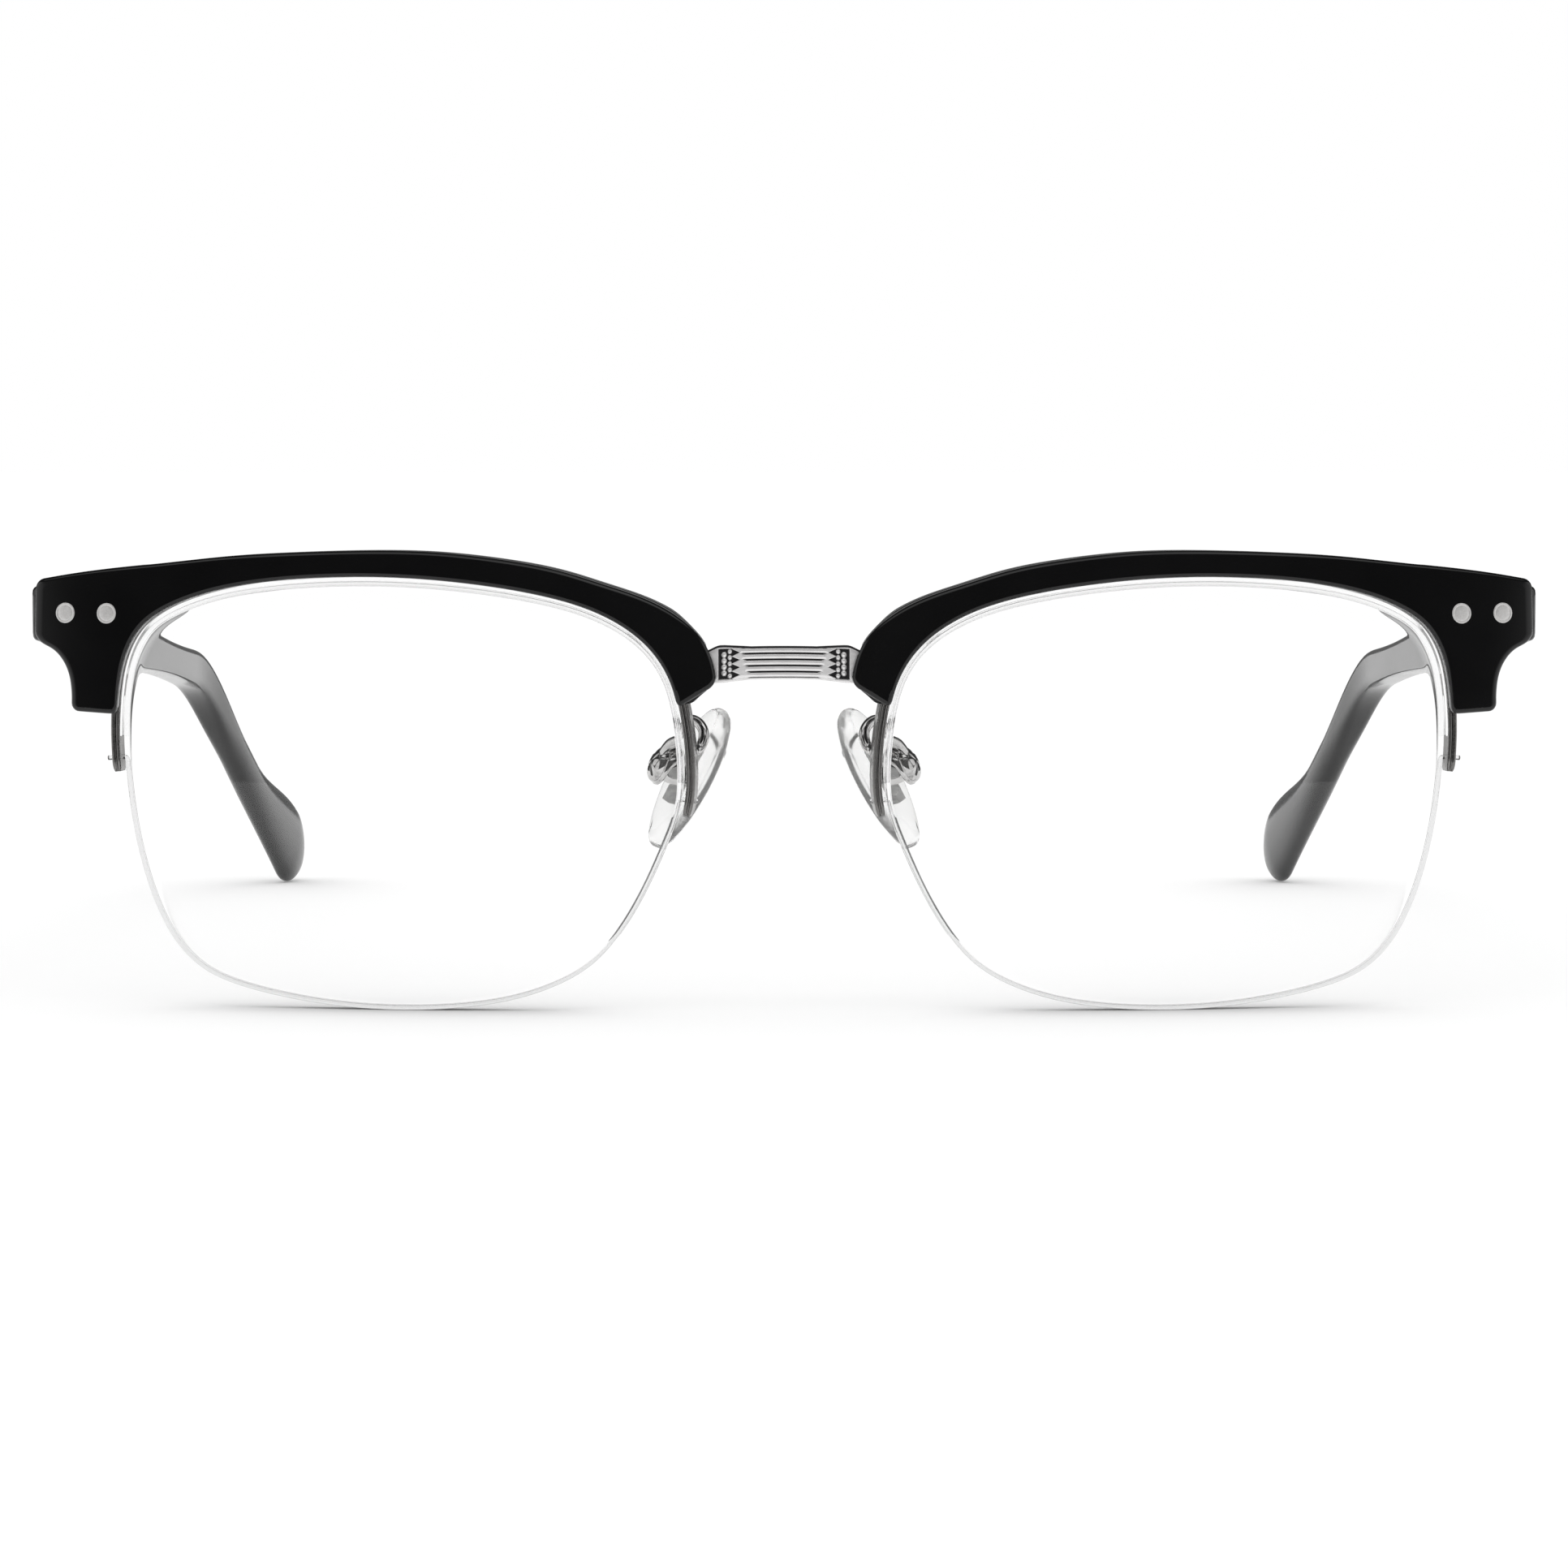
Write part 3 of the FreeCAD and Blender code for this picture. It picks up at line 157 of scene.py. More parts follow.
# Lens outline in half widths and half heights, from the temple side over
# the top to the nose and back along the bottom.
LENS_SHAPE = [
    (1.000, 0.340), (0.990, 0.520), (0.957, 0.680), (0.905, 0.780),
    (0.830, 0.848), (0.730, 0.903), (0.600, 0.948), (0.450, 0.978),
    (0.270, 0.996), (0.070, 1.000), (-0.100, 0.990), (-0.316, 0.960),
    (-0.530, 0.909), (-0.665, 0.856), (-0.785, 0.778), (-0.880, 0.674),
    (-0.945, 0.540), (-0.983, 0.350), (-1.000, 0.130), (-0.990, -0.050),
    (-0.950, -0.205), (-0.885, -0.400), (-0.790, -0.620), (-0.680, -0.785),
    (-0.550, -0.885), (-0.400, -0.950), (-0.200, -0.990), (0.000, -1.000),
    (0.200, -0.988), (0.400, -0.952), (0.580, -0.897), (0.710, -0.825),
    (0.800, -0.720), (0.868, -0.575), (0.922, -0.390), (0.963, -0.170),
    (0.990, 0.080),
]


# ------------------------------------------------------------ curves
def cubic(points, closed=False):
    """Cubic pieces through the points over their chord lengths, with slope
    and curvature carried on at each point.  An open curve's end slopes are
    those of the parabola through its last three points."""
    p = np.asarray(points, float)
    if closed:
        p = np.vstack([p, p[:1]])
    steps = np.linalg.norm(np.diff(p, axis=0), axis=1)
    rise = np.diff(p, axis=0) / steps[:, None]
    n = len(p)
    a, b = np.zeros((n, n)), np.zeros_like(p)
    i = np.arange(1, n - 1)
    a[i, i - 1] = 1 / steps[:-1]
    a[i, i] = 2 / steps[:-1] + 2 / steps[1:]
    a[i, i + 1] = 1 / steps[1:]
    b[1:-1] = 3 * (rise[:-1] / steps[:-1, None] + rise[1:] / steps[1:, None])
    if closed:
        a[0, 0], a[0, 1] = 2 / steps[-1] + 2 / steps[0], 1 / steps[0]
        a[0, n - 2] = 1 / steps[-1]
        b[0] = 3 * (rise[-1] / steps[-1] + rise[0] / steps[0])
        a[-1, 0], a[-1, -1] = 1, -1
    else:
        a[0, 0] = a[-1, -1] = 1
        first, last = steps[0] + steps[1], steps[-1] + steps[-2]
        b[0] = rise[0] - (rise[1] - rise[0]) * steps[0] / first
        b[-1] = rise[-1] + (rise[-1] - rise[-2]) * steps[-1] / last
    return np.concatenate([[0.0], np.cumsum(steps)]), p, np.linalg.solve(a, b)


def along(curve, f):
    """Points and slopes of a cubic curve at fractions f of its chord length."""
    knots, p, m = curve
    u = np.atleast_1d(f) * knots[-1]
    k = np.clip(np.searchsorted(knots, u, side="right") - 1, 0, len(knots) - 2)
    h = (knots[k + 1] - knots[k])[:, None]
    s = (u - knots[k])[:, None] / h
    at = p[k] * (2 * s**3 - 3 * s**2 + 1) + p[k + 1] * (3 * s**2 - 2 * s**3)
    at = at + h * (m[k] * (s**3 - 2 * s**2 + s) + m[k + 1] * (s**3 - s**2))
    slope = (p[k + 1] - p[k]) * (6 * s - 6 * s**2) / h
    slope = slope + m[k] * (3 * s**2 - 4 * s + 1) + m[k + 1] * (3 * s**2 - 2 * s)
    return at, slope


def even(points, count):
    """A polyline sampled again at count + 1 evenly spaced points."""
    p = np.asarray(points, float)
    lengths = np.linalg.norm(np.diff(p, axis=0), axis=1)
    run = np.concatenate([[0], np.cumsum(lengths)])
    want = np.linspace(0, run[-1], count + 1)
    return np.stack([np.interp(want, run, p[:, k]) for k in range(p.shape[1])], 1)


def arc(a, m, b, count=14):
    """Points of the flat arc through three points: the circle about the
    point as far from all three."""
    a, m, b = (np.asarray(q, float) for q in (a, m, b))
    lhs = np.array([m - a, b - a]) * 2
    centre = np.linalg.solve(lhs, np.array([m @ m - a @ a, b @ b - a @ a]))
    t = [math.atan2(*(q - centre)[::-1]) for q in (a, m, b)]
    t = np.unwrap(t)
    r = np.linalg.norm(a - centre)
    turn = np.linspace(t[0], t[2], count)
    return centre + r * np.stack([np.cos(turn), np.sin(turn)], 1)


def step(f):
    """Soft step from 0 to 1."""
    f = np.clip(f, 0, 1)
    return f * f * (3 - 2 * f)


LENS_CURVE = cubic(np.array(LENS_SHAPE) * [HALF_W, HALF_H], closed=True)


def lens_edge(f, offset=0.0):
    """Points on the lens outline moved outward, and outward normals."""
    at, slope = along(LENS_CURVE, np.mod(f, 1.0))
    slope = slope / np.linalg.norm(slope, axis=1, keepdims=True)
    normal = np.stack([slope[:, 1], -slope[:, 0]], 1)
    return at + normal * offset, normal


def edge_at(side, height):
    """Fraction of the outline at a height; side 1 temple, -1 nose."""
    f = np.arange(4000) / 4000
    at = lens_edge(f)[0]
    miss = np.abs(at[:, 1] - height * HALF_H)
    miss[at[:, 0] * side < 0.3 * HALF_W] = 1e9
    return f[np.argmin(miss)]


def on_ball(flat, depth):
    """Eye frame points at flat (x, z) places, on the ball whose front is a
    depth behind the lens front."""
    r = BASE_RADIUS - np.asarray(depth, float)
    x, z = flat[..., 0], flat[..., 1]
    return np.stack([x, BASE_RADIUS - np.sqrt(r * r - x * x - z * z), z], -1)


def to_face(p):
    """Eye frame points turned by the wrap and moved to the left eye."""
    c, s = math.cos(WRAP), math.sin(WRAP)
    x = EYE_X + p[..., 0] * c - p[..., 1] * s
    return np.stack([x, p[..., 0] * s + p[..., 1] * c, p[..., 2] + HALF_H], -1)


def to_eye(p):
    """Inverse of to_face."""
    c, s = math.cos(WRAP), math.sin(WRAP)
    x, y = p[..., 0] - EYE_X, p[..., 1]
    return np.stack([x * c + y * s, y * c - x * s, p[..., 2] - HALF_H], -1)


# ------------------------------------------------------------ hinge seat
SEAT_FLAT = np.array([HALF_W + SEAT_REACH, HINGE_Z - HINGE_HEIGHT / 2 - HALF_H])
SEAT = to_face(on_ball(SEAT_FLAT, BROW_BACK))
SEAT_TURN = WRAP + math.asin(SEAT_FLAT[0] / (BASE_RADIUS - BROW_BACK))
ALONG = np.array([math.cos(SEAT_TURN), math.sin(SEAT_TURN), 0.0])
BEHIND = np.array([-math.sin(SEAT_TURN), math.cos(SEAT_TURN), 0.0])
hinge = next(j for j in frame["joints"] if j["name"] == "temple_left_fold")
AXIS_X = hinge["pos_m"][0] * 1000
AXIS_H = LEAF_THICK + BARREL_OFF + BARREL_RADIUS
AXIS_S = (AXIS_X - SEAT[0] - AXIS_H * BEHIND[0]) / ALONG[0]
AXIS_Y = SEAT[1] + AXIS_S * ALONG[1] + AXIS_H * BEHIND[1]
OUTER_X = float(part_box("temple_left")[1][0]) * 1000
Y_SHIFT = hinge["pos_m"][1] * 1000 - AXIS_Y      # drawing frame to row frame


# ------------------------------------------------------------ meshes
def make_piece(name, patches, material, body, stands_for, side=1, marks=None):
    """One closed mesh from grids of points: each grid's neighbours are joined
    by four-sided faces, equal points are merged and the faces turned out."""
    points, faces, values, base = [], [], [], 0
    for k, grid in enumerate(patches):
        rows, cols = grid.shape[:2]
        index = base + np.arange(rows * cols).reshape(rows, cols)
        quads = (index[:-1, :-1], index[1:, :-1], index[1:, 1:], index[:-1, 1:])
        faces.append(np.stack(quads, -1).reshape(-1, 4))
        points.append(grid.reshape(-1, 3))
        mark = np.zeros(rows * cols) if marks is None else marks[k].reshape(-1)
        values.append(mark)
        base += rows * cols
    p = np.vstack(points) + [0, Y_SHIFT, 0]
    p = p * [side, 1, 1] * MM
    mesh = bpy.data.meshes.new(name)
    mesh.from_pydata(p.tolist(), [], np.vstack(faces).tolist())
    if marks is not None:
        # the bridge's marks: darkening in its cuts and painted shade on its top edge
        layer = mesh.attributes.new("relief", "FLOAT", "POINT")
        layer.data.foreach_set("value", np.concatenate(values).astype(np.float32))
    bm = bmesh.new()
    bm.from_mesh(mesh)
    bmesh.ops.remove_doubles(bm, verts=bm.verts, dist=MERGE)
    bmesh.ops.dissolve_degenerate(bm, edges=bm.edges, dist=MERGE / 20)
    bmesh.ops.recalc_face_normals(bm, faces=bm.faces)
    bm.to_mesh(mesh)
    bm.free()
    mesh.polygons.foreach_set("use_smooth", [True] * len(mesh.polygons))
    mesh.materials.append(material)
    piece = bpy.data.objects.new(name, mesh)
    bpy.context.scene.collection.objects.link(piece)
    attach(piece, body)
    if stands_for:
        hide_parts(*stands_for)


def closed(ring):
    """Rings with their first column repeated at the end."""
    return np.concatenate([ring, ring[:, :1]], 1)


def fan(ring, steps=(0.0, 0.35, 0.7, 1.0)):
    """Cap: copies of a ring drawn in to its middle."""
    middle = ring.mean(0)
    return np.stack([ring + (middle - ring) * k for k in steps])


def round_box(w, h, r, sides=2, corner=5):
    """Rounded rectangle of half sizes w and h as (across, up) points: four
    quarter circles with straight runs between them."""
    t = np.linspace(0, math.pi / 2, corner)
    quarter = np.stack([np.cos(t), np.sin(t)], 1) * r
    out = []
    for k, (cx, cy) in enumerate(((1, 1), (-1, 1), (-1, -1), (1, -1))):
        c, s = round(math.cos(k * math.pi / 2)), round(math.sin(k * math.pi / 2))
        turned = quarter @ np.array([[c, s], [-s, c]])
        out.append(turned + [cx * (w - r), cy * (h - r)])
    ring = []
    for k in range(4):
        ring.append(out[k])
        a, b = out[k][-1], out[(k + 1) % 4][0]
        f = np.linspace(0, 1, sides + 1)[1:-1, None]
        ring.append(a + (b - a) * f)
    return np.vstack(ring)


# ------------------------------------------------------------ materials
def material(name, **inputs):
    """A Principled material and its shader; inputs are uniform values set on
    the shader's own sockets."""
    m = bpy.data.materials.new(name)
    m.use_nodes = True
    shader = m.node_tree.nodes["Principled BSDF"]
    for key, value in inputs.items():
        shader.inputs[key.replace("_", " ")].default_value = value
    return m, shader


def node(m, kind, **values):
    """A node; values are its input sockets by name, or its properties."""
    n = m.node_tree.nodes.new(kind)
    for key, value in values.items():
        if key in n.inputs:
            n.inputs[key].default_value = value
        else:
            setattr(n, key, value)
    return n


def link(m, a, b):
    """Join an output socket to an input socket."""
    m.node_tree.links.new(a, b)


def join(tree, kind, a, b=0.0):
    """Output of a Math node on two numbers, each a float or a socket."""
    n = tree.nodes.new("ShaderNodeMath")
    n.operation = kind
    for k, v in enumerate((a, b)):
        if isinstance(v, float):
            n.inputs[k].default_value = v
        else:
            tree.links.new(v, n.inputs[k])
    return n.outputs[0]


def noise(m, scale, detail=3.0, stretch=(1, 1, 1)):
    """Noise on Object coordinates, its scale in waves per metre."""
    place = node(m, "ShaderNodeTexCoord")
    turn = node(m, "ShaderNodeMapping", Scale=stretch)
    wave = node(m, "ShaderNodeTexNoise", Scale=scale, Detail=detail)
    link(m, place.outputs["Object"], turn.inputs["Vector"])
    link(m, turn.outputs["Vector"], wave.inputs["Vector"])
    return wave.outputs["Fac"]


def spread(m, value, low, high, start=0.3, end=0.7):
    """Map start..end of a value onto low..high; noise fills 0.3 to 0.7."""
    n = node(m, "ShaderNodeMapRange")
    for k, v in zip((1, 2, 3, 4), (start, end, low, high)):
        n.inputs[k].default_value = v
    link(m, value, n.inputs[0])
    return n.outputs[0]


def tint(m, value, dark, light):
    """Colour between two colours by a value."""
    n = node(m, "ShaderNodeMix", data_type="RGBA")
    link(m, value, n.inputs["Factor"])
    n.inputs[6].default_value = (*dark, 1)
    n.inputs[7].default_value = (*light, 1)
    return n.outputs[2]


def bump(m, shader, height, depth, strength=1.0):
    """Bump of a height value, its depth in metres."""
    n = node(m, "ShaderNodeBump", Strength=strength, Distance=depth)
    link(m, height, n.inputs["Height"])
    link(m, n.outputs["Normal"], shader.inputs["Normal"])


def make_acetate():
    """Near-black acetate, hand polished: faint cloudy colour, slightly
    uneven gloss and a barely wavy surface."""
    m, s = material("polished_black_acetate", IOR=1.44)
    cloud = spread(m, noise(m, 90, 3), 0, 1)
    colour = tint(m, cloud, (0.0024, 0.0024, 0.0026), (0.0042, 0.0042, 0.0044))
    link(m, colour, s.inputs["Base Color"])
    link(m, spread(m, noise(m, 60, 2, (1, 1, 2)), 0.10, 0.16), s.inputs["Roughness"])
    bump(m, s, noise(m, 110, 1), 0.000012, 0.4)
    return m


def make_metal(name, dark, light, rough, grain=2600, depth=0.000004, shine=1.0):
    """Metal with a fine grain: colour and gloss vary with it.  A shine under
    1 is a satin finish that scatters part of the light."""
    m, s = material(name, Metallic=shine)
    fine = noise(m, grain, 3)
    link(m, tint(m, spread(m, fine, 0, 1), dark, light), s.inputs["Base Color"])
    link(m, spread(m, noise(m, grain / 4, 3), *rough), s.inputs["Roughness"])
    bump(m, s, fine, depth, 0.6)
    return m


def make_engraved():
    """Bridge silver with darkened recesses: the relief mark is 0 on the
    high polish and 1 at the bottom of a cut.  On the top edge the mark is
    painted shade, a dark reflection line."""
    m, s = material("engraved_silver", Metallic=0.45)
    mark = node(m, "ShaderNodeAttribute", attribute_name="relief")
    grain = noise(m, 3200, 3, (0.3, 1, 1))
    fine = spread(m, grain, 0, 1)
    plain = tint(m, fine, (0.76, 0.75, 0.75), (0.86, 0.85, 0.85))
    n = node(m, "ShaderNodeMix", data_type="RGBA")
    link(m, mark.outputs["Fac"], n.inputs["Factor"])
    link(m, plain, n.inputs[6])
    # dark colour of the cuts, and of the painted shade on the top edge
    n.inputs[7].default_value = (0.016, 0.015, 0.017, 1)
    link(m, n.outputs[2], s.inputs["Base Color"])
    link(m, spread(m, mark.outputs["Fac"], 0.2, 0.5, 0, 1), s.inputs["Roughness"])
    bump(m, s, grain, 0.000003, 0.5)
    return m


def let_light_through(m, shader, share):
    """A share of the light on its way to matt surfaces passes straight
    through: a number, or a socket of one."""
    path = node(m, "ShaderNodeLightPath")
    clear = node(m, "ShaderNodeBsdfTransparent")
    if isinstance(share, float):
        clear.inputs["Color"].default_value = (share, share, share, 1)
    else:
        link(m, share, clear.inputs["Color"])
    shadow, matt = path.outputs["Is Shadow Ray"], path.outputs["Is Diffuse Ray"]
    light = join(m.node_tree, "MAXIMUM", shadow, matt)
    mix = node(m, "ShaderNodeMixShader")
    link(m, light, mix.inputs[0])
    link(m, shader.outputs[0], mix.inputs[1])
    link(m, clear.outputs[0], mix.inputs[2])
    surface = m.node_tree.nodes["Material Output"].inputs["Surface"]
    link(m, mix.outputs[0], surface)


def make_lens_glass():
    """Clear lens plastic.  Its low IOR stands for the coating that takes the
    reflections away, and fine dust marks vary the gloss.  Painted shade:
    the edge is tinted grey where it faces up or down.  Lower than 8 mm
    above the floor it lets less light by, and least below 2 mm."""
    m, s = material("clear_lens", IOR=1.25, Transmission_Weight=1.0)
    link(m, spread(m, noise(m, 700, 4), 0.0, 0.012), s.inputs["Roughness"])
    surface = node(m, "ShaderNodeNewGeometry")
    facing = node(m, "ShaderNodeSeparateXYZ")
    link(m, surface.outputs["Normal"], facing.inputs[0])
    slope = join(m.node_tree, "ABSOLUTE", facing.outputs["Z"])
    # painted shade: edge faces that look up or down tint the glass grey
    edge = spread(m, slope, 0, 1, 0.6, 0.95)
    link(m, tint(m, edge, (1.0, 1.0, 1.0), (0.4, 0.4, 0.4)), s.inputs["Base Color"])
    coords = node(m, "ShaderNodeTexCoord")
    place = node(m, "ShaderNodeSeparateXYZ")
    link(m, coords.outputs["Object"], place.inputs[0])
    share = spread(m, place.outputs["Z"], 0.1, 0.99, 2 * MM, 8 * MM)
    let_light_through(m, s, share)
    return m


def make_clear(name, colour, rough, ior, grain, depth, through, passing):
    """Clear moulded plastic, slightly hazy, with soft flow marks.  through
    is the shader's transmission, and passing the share of light that
    reaches matt surfaces."""
    m, s = material(name, IOR=ior, Transmission_Weight=through)
    cloud = spread(m, noise(m, grain, 3), 0, 1)
    lighter = tuple(min(1.0, c * 1.03) for c in colour)
    link(m, tint(m, cloud, colour, lighter), s.inputs["Base Color"])
    haze = spread(m, noise(m, grain * 2, 3), rough * 0.7, rough * 1.3)
    link(m, haze, s.inputs["Roughness"])
    bump(m, s, noise(m, grain, 2), depth, 0.5)
    let_light_through(m, s, passing)
    return m


ACETATE = make_acetate()
GUNMETAL = make_metal(
    "gunmetal_rim", dark=(0.18, 0.175, 0.17), light=(0.22, 0.215, 0.21),
    rough=(0.22, 0.32),
)
STEEL = make_metal(
    "hinge_steel", dark=(0.30, 0.30, 0.30), light=(0.42, 0.42, 0.41),
    rough=(0.22, 0.34),
)
POLISHED = make_metal(
    "polished_wire", dark=(0.52, 0.515, 0.51), light=(0.62, 0.615, 0.61),
    rough=(0.06, 0.1), depth=0.000001,
)
SATIN = make_metal(
    "satin_rivet", dark=(0.60, 0.59, 0.58), light=(0.72, 0.71, 0.70),
    rough=(0.38, 0.5), grain=6000, shine=0.55,
)
ENGRAVED = make_engraved()
LENS = make_lens_glass()
NYLON = make_clear(
    "clear_nylon", colour=(0.9, 0.9, 0.9), rough=0.05, ior=1.3,
    grain=900, depth=0.00001, through=0.95, passing=0.1,
)
LINER = make_clear(
    "clear_liner", colour=(0.98, 0.98, 0.98), rough=0.12, ior=1.3,
    grain=900, depth=0.000005, through=1.0, passing=0.6,
)
SILICONE = make_clear(
    "clear_silicone", colour=(0.97, 0.97, 0.965), rough=0.10, ior=1.27,
    grain=300, depth=0.00002, through=0.94, passing=0.95,
)


# ------------------------------------------------------------ lens and rim
def lens_patches():
    """Front and back balls as the outline shrunk to its middle, joined by an
    edge profile of (offset, depth) with small bevels and the cord's groove."""
    f = np.linspace(0, 1, 281)
    mid, half = LENS_THICK / 2, GROOVE_WIDTH / 2
    profile = [
        (-LENS_BEVEL, 0.0), (-0.02, 0.06), (0.0, LENS_BEVEL), (0.0, mid - half - 0.03),
        (-0.03, mid - half), (-GROOVE_DEPTH, mid - half), (-GROOVE_DEPTH, mid + half),
        (-0.03, mid + half), (0.0, mid + half + 0.03), (0.0, LENS_THICK - LENS_BEVEL),
        (-0.02, LENS_THICK - 0.06), (-LENS_BEVEL, LENS_THICK),
    ]
    edge = np.stack([on_ball(lens_edge(f, o)[0], d) for o, d in profile])
    shrink = np.linspace(1, 0, 22)[:, None, None] ** 0.8
    flat = lens_edge(f, -LENS_BEVEL)[0][None] * shrink
    faces = [on_ball(flat, depth) for depth in (0.0, LENS_THICK)]
    return [to_face(p) for p in (edge, *faces)]


def rim_patches():
    """Rounded bar section, with a line cut along its front, carried along
    the lens outline from one bare end over the top to the other.  Both ends
    are drawn in a little."""
    count, line_half, line_deep = 261, 0.12, 0.22
    start, stop = edge_at(1, RIM_END_TEMPLE) - 1.0, edge_at(-1, RIM_END_NOSE)
    w, h = RIM_THICK / 2, (RIM_BACK - RIM_FRONT) / 2
    ring = round_box(w, h, RIM_ROUND, sides=6, corner=4)
    groove = (ring[:, 1] < -h + 0.01) & (np.abs(ring[:, 0]) < line_half)
    ring[groove, 1] += line_deep
    out, back = (LINER_THICK + RIM_OUT) / 2, (RIM_FRONT + RIM_BACK) / 2
    scales = np.ones(count)
    scales[:3] = 0.72, 0.9, 0.97
    scales[-3:] = scales[2::-1]
    rows = []
    for f, scale in zip(np.linspace(start, stop, count), scales):
        edge, normal = lens_edge(np.full(len(ring), f))
        place = edge + normal * (out + ring[:, :1] * scale)
        rows.append(on_ball(place, back + ring[:, 1] * scale))
    rows = closed(to_face(np.stack(rows)))
    return [rows, fan(rows[0]), fan(rows[-1])]


# ------------------------------------------------------------ brow
BROW_RUN = 330               # steps along the outline
BROW_WIDE = 20               # steps from inner to outer line


def brow_outer():
    """Outline from the foot's corner up the throat, round the end piece,
    over the top and down to the nose end's corner: arcs and cubics."""
    top = HALF_H
    x1, z1 = HALF_W + END_REACH, top + 0.05
    xf, zf, zs = HALF_W + FOOT_REACH, top - FOOT_DROP, z1 - END_HEIGHT
    xn, zn = -HALF_W - NOSE_REACH, top - NOSE_DROP
    foot = arc((xf - 0.85, zf + 0.25), (xf - 0.22, zf + 0.50), (xf, zf + 1.05))
    throat = [(xf, zf + 1.05), (xf + 0.04, zf + 2.3), (xf + 0.32, zf + 3.75)]
    throat += [((xf + x1) / 2 - 0.75, zs - 1.65), ((xf + x1) / 2 + 0.20, zs - 0.85)]
    throat += [(x1 - 0.62, zs - 0.28), (x1 - 0.05, zs + 0.42)]
    corner = arc((x1, z1 - 0.85), (x1 - 0.22, z1 - 0.22), (x1 - 0.85, z1 + 0.12))
    over = [(x1 - 0.85, z1 + 0.12), (HALF_W + 3.5, top + 0.86)]
    for u, part in (
        (0.86, 0.57), (0.62, 0.80), (0.38, 0.93), (0.13, 1.0),
        (-0.12, 0.965), (-0.36, 0.74), (-0.58, 0.36),
    ):
        over.append((HALF_W * u, top + BROW_RISE * part))
    over += [(-HALF_W + 7.1, top - 0.15), (-HALF_W + 2.9, top - 1.65)]
    over += [(-HALF_W - 0.3, top - 3.55), (-HALF_W - 1.85, top - 5.05)]
    over += [(-HALF_W - 2.68, top - 6.5), (xn + 0.02, zn + 0.4)]
    nose = arc(over[-1], (xn + 0.03, zn - 0.45), (xn + 0.52, zn - 1.10))
    f = np.linspace(0, 1, 400)
    line = [foot, along(cubic(throat), f)[0][1:], corner]
    line += [along(cubic(over), f)[0][1:], nose[1:]]
    return even(np.vstack(line), BROW_RUN)


def crossing(a, b, side):
    """Fraction of the outline where the brow's inner edge meets the line
    through two flat points."""
    low, high = (-0.06, 0.08) if side > 0 else (0.36, 0.5)
    f = np.linspace(low, high, 3000)
    at = lens_edge(f, LINER_THICK)[0]
    d = np.asarray(b) - np.asarray(a)
    miss = (at[:, 0] - a[0]) * d[1] - (at[:, 1] - a[1]) * d[0]
    return f[np.argmin(np.abs(miss))]


def brow_loop():
    """The flat loop foot end, outer line, nose end, inner line, the way each
    of its points moves for the rim's rebate, and the loop's inward normals.
    Inner points pair with outer ones mostly by angle about the lens centre."""
    outer = brow_outer()
    top = HALF_H
    foot_z = top - FOOT_DROP - 0.05
    f_foot = crossing((HALF_W - 1.6, foot_z), outer[0], 1)
    tip = np.array([-HALF_W - 0.55, top - 11.0])
    f_nose = crossing(tip, (-HALF_W + 2.4, top - 12.9), -1)
    f = np.linspace(f_foot, f_nose, 3000)
    edge = lens_edge(f, LINER_THICK)[0]
    turn = np.unwrap(np.arctan2(edge[:, 1], edge[:, 0]))
    want = np.unwrap(np.arctan2(outer[:, 1], outer[:, 0]))
    want = np.maximum.accumulate(want)
    want = (want - want[0]) / (want[-1] - want[0])
    want = 0.86 * want + 0.14 * np.linspace(0, 1, len(want))
    pick = np.interp(turn[0] + want * (turn[-1] - turn[0]), turn, f)
    inner, normal = lens_edge(pick, LINER_THICK)
    across = np.linspace(0, 1, BROW_WIDE + 1)
    foot = inner[0] + (outer[0] - inner[0]) * across[:, None]
    nose = even([outer[-1], tip, inner[-1]], BROW_WIDE)
    loop = np.vstack([foot[:-1], outer[:-1], nose[:-1], inner[:0:-1]])
    shift = np.vstack([
        normal[0] * (1 - across[:-1, None]), outer[:-1] * 0,
        normal[-1] * across[:-1, None], normal[:0:-1],
    ])
    soft = loop.copy()
    for reach in (1, 1, 2, 2, 2):
        soft = (soft + np.roll(soft, reach, 0) + np.roll(soft, -reach, 0)) / 3
    corner = np.minimum(*(
        np.linalg.norm(loop - q, axis=1) for q in (inner[0], inner[-1])
    ))
    near = np.exp(-((corner / 1.1) ** 4))[:, None]
    loop = loop * (1 - near) + soft * near
    run = np.roll(loop, -1, 0) - np.roll(loop, 1, 0)
    run = run / np.linalg.norm(run, axis=1, keepdims=True)
    inward = np.stack([-run[:, 1], run[:, 0]], 1)
    return loop, shift, inward


def brow_fill(ring):
    """The face inside a loop: each place is its blend between inner and
    outer line and between the two ends, less the blend of the corners."""
    n, k = BROW_RUN, BROW_WIDE
    inner = ring[-np.arange(n + 1)]
    outer = ring[k + np.arange(n + 1)]
    foot = ring[: k + 1]
    nose = ring[2 * k + n - np.arange(k + 1)]
    s = np.linspace(0, 1, n + 1)[:, None, None]
    t = np.linspace(0, 1, k + 1)[None, :, None]
    face = (1 - t) * inner[:, None] + t * outer[:, None]
    ends = (1 - s) * foot[None] + s * nose[None]
    flat = (1 - s) * ((1 - t) * foot[0] + t * foot[-1])
    flat = flat + s * ((1 - t) * nose[0] + t * nose[-1])
    return face + ends - flat


